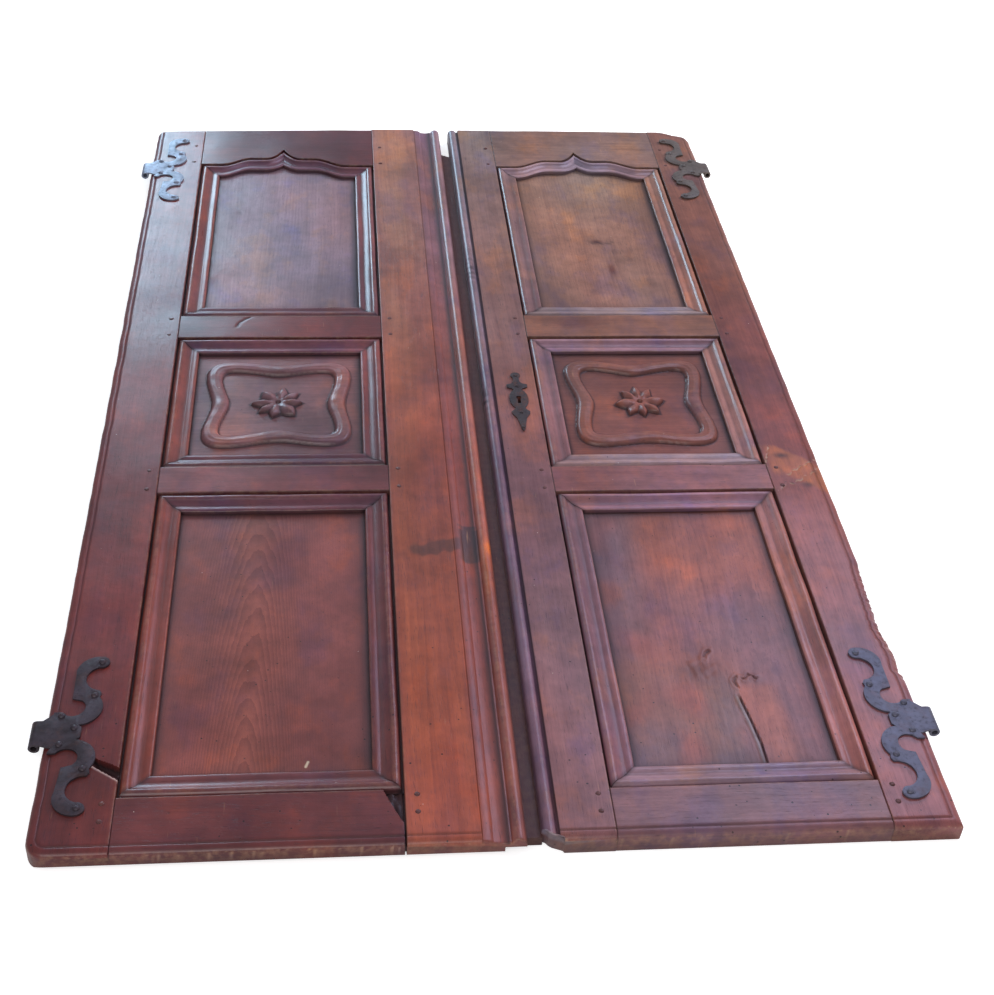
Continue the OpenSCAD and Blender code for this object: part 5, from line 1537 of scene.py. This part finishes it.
class DOOR_OT_hinges(bpy.types.Operator):
    """Builds the forged hinges and their nails"""
    bl_idname = "door.hinges"
    bl_label = "Hinges"

    def execute(self, context):
        iron = finish("forged iron")
        width = context.scene.iron_settings.edge_round
        for leaf in LEAVES:
            centres = []
            for which in ("lower", "upper"):
                node = f"{leaf.side}_{which}_hinge"
                scroll = forged_copy(node, node.replace("hinge", "scroll"), iron, width)
                stand_for(scroll, "forged_iron", node)
                plate_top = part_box(node)[1].z / MM
                centres += [(x, hinge_centre(leaf, which) + y, plate_top) for x, y in NAIL_SPOTS]
            nails = nail_set(leaf.side + "_scroll_nails", leaf, centres, 4.6, 1.8, 20, iron, leaf.seed + 400)
            stand_for(nails, "forged_iron", leaf.side + "_hinge_nails")
        return {"FINISHED"}


class DOOR_OT_lock(bpy.types.Operator):
    """Builds the keyhole plate and finishes the lock's own pieces"""
    bl_idname = "door.lock"
    bl_label = "Lock"

    def execute(self, context):
        iron = finish("lock iron")
        stand_for(forged_copy("escutcheon", "keyhole_plate", iron, 0.5), "forged_iron", "escutcheon")
        right = LEAVES[1]
        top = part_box("escutcheon")[1].z / MM
        centres = [(keyhole_x(right), KEYHOLE_Y + dy, top) for dy in (68, 38, -36, -76)]
        nails = nail_set("plate_nails", right, centres, 3.0, 1.2, 11, iron, 500)
        stand_for(nails, "forged_iron", "escutcheon_nails")
        for node in ("lock_case", "lock_cover", "lock_bolt", "lock_spring", "lock_nails"):
            mesh = frame["nodes"][node].data
            mesh.materials.clear()
            mesh.materials.append(iron)
        return {"FINISHED"}


class DOOR_OT_stage(bpy.types.Operator):
    """Sets the floor, the lamps, the world and the camera"""
    bl_idname = "door.stage"
    bl_label = "Stage"

    def execute(self, context):
        stage = context.scene.stage_settings
        make_floor(stage)
        make_world()
        key = area_lamp("low window", (3.0, 3.2, 1.5), (0.1, 0.2, 0.0), (1.2, 1.0), 250, (1.0, 0.97, 0.94))
        key.visible_glossy = False  # it only casts the shadows beside the mouldings
        area_lamp("far window", (-1.0, 3.2, 1.25), (-0.45, 0.6, 0.0), (0.66, 1.2), 26, (0.55, 0.80, 1.0))
        area_lamp("skylight", (1.75, 1.8, 3.0), (0.42, -0.6, 0.0), (1.7, 1.7), 32, (0.60, 0.68, 1.0))
        area_lamp("front fill", (-0.8, -3.0, 2.6), (0.0, 0.0, 0.0), (2.6, 2.0), 44, (1.0, 0.96, 0.94))
        make_camera(stage)
        context.scene.view_settings.view_transform = "Standard"
        return {"FINISHED"}


def make_floor(stage):
    """A wide pale floor just under the leaves, which shows near white and keeps a soft shadow."""
    material, n, shader = new_material("pale floor")
    shader.inputs["Base Color"].default_value = (*stage.floor_colour, 1)
    shader.inputs["Roughness"].default_value = 0.9
    path = n.add("ShaderNodeLightPath").outputs["Is Camera Ray"]
    shader.inputs["Emission Color"].default_value = (1, 1, 1, 1)
    n.feed(shader.inputs["Emission Strength"], n.times(path, 0.62))
    mesh = bpy.data.meshes.new("floor")
    side, z = 9.0, -0.0004
    corners = [(-side, -side, z), (side, -side, z), (side, side, z), (-side, side, z)]
    mesh.from_pydata(corners, [], [(0, 1, 2, 3)])
    mesh.materials.append(material)
    floor = bpy.data.objects.new("floor", mesh)
    bpy.context.scene.collection.objects.link(floor)
    return floor


def make_world():
    """Even light from all round: white to the camera and through glass, lilac in the wax's gloss."""
    world = bpy.data.worlds.new("studio")
    bpy.context.scene.world = world
    world.use_nodes = True
    n = Nodes(world.node_tree)
    background = world.node_tree.nodes["Background"]
    path = n.add("ShaderNodeLightPath")
    gloss = path.outputs["Is Glossy Ray"]
    n.feed(background.inputs["Color"], n.mix(gloss, (0.96, 0.97, 1.0), (0.84, 0.81, 1.0)))
    clear = n.math("ADD", path.outputs["Is Camera Ray"], path.outputs["Is Transmission Ray"], clamp=True)
    strength = n.math("ADD", n.times(clear, 0.65), 0.35)
    n.feed(background.inputs["Strength"], strength)


def area_lamp(name, place, target, size, power, colour):
    """A rectangular lamp at a place, aimed at a target."""
    light = bpy.data.lights.new(name, "AREA")
    light.shape = "RECTANGLE"
    light.size, light.size_y = size
    light.energy = power
    light.color = colour
    lamp = bpy.data.objects.new(name, light)
    lamp.location = place
    lamp.rotation_euler = (Vector(target) - Vector(place)).to_track_quat("-Z", "Y").to_euler()
    bpy.context.scene.collection.objects.link(lamp)
    return lamp


def make_camera(stage):
    """The camera fitted to the photograph: its turns take the room to axes right, down and forward."""
    turns = [Matrix.Rotation(angle, 3, axis) for angle, axis in zip(stage.camera_turn, "XYZ")]
    right, down, forward = turns[2] @ turns[1] @ turns[0]
    camera_data = bpy.data.cameras.new("camera")
    camera_data.sensor_width = 36.0
    camera_data.lens = 36.0 * stage.focal_pixels / stage.picture_side
    camera_data.clip_end = 60
    camera = bpy.data.objects.new("camera", camera_data)
    basis = Matrix((right, [-v for v in down], [-v for v in forward])).transposed()
    camera.matrix_world = Matrix.Translation(Vector(stage.camera_place)) @ basis.to_4x4()
    bpy.context.scene.collection.objects.link(camera)
    bpy.context.scene.camera = camera


class DOOR_PT_panel(bpy.types.Panel):
    """Lists the steps that build the closet door"""
    bl_idname = "DOOR_PT_panel"
    bl_label = "Closet door"
    bl_space_type = "VIEW_3D"
    bl_region_type = "UI"
    bl_category = "Closet door"

    def draw(self, context):
        for step in STEPS:
            self.layout.operator(step.bl_idname)


SETTINGS = {"wood_settings": WoodSettings, "iron_settings": IronSettings,
            "door_settings": DoorSettings, "stage_settings": StageSettings}
STEPS = (DOOR_OT_frames, DOOR_OT_panels, DOOR_OT_mouldings, DOOR_OT_pegs, DOOR_OT_hinges, DOOR_OT_lock,
         DOOR_OT_stage)
CLASSES = (*SETTINGS.values(), *STEPS, DOOR_PT_panel)


def register():
    """Adds the settings, steps and panel to Blender."""
    for item in CLASSES:
        bpy.utils.register_class(item)
    for name, group in SETTINGS.items():
        setattr(bpy.types.Scene, name, bpy.props.PointerProperty(type=group))


def unregister():
    """Takes them out again."""
    for name in SETTINGS:
        delattr(bpy.types.Scene, name)
    for item in reversed(CLASSES):
        bpy.utils.unregister_class(item)


def main():
    """Registers the add-on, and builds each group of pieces."""
    register()
    bpy.ops.door.frames()
    bpy.ops.door.panels()
    bpy.ops.door.mouldings()
    bpy.ops.door.pegs()
    bpy.ops.door.hinges()
    bpy.ops.door.lock()
    bpy.ops.door.stage()
    bpy.context.view_layer.update()


if __name__ == "__main__":
    main()
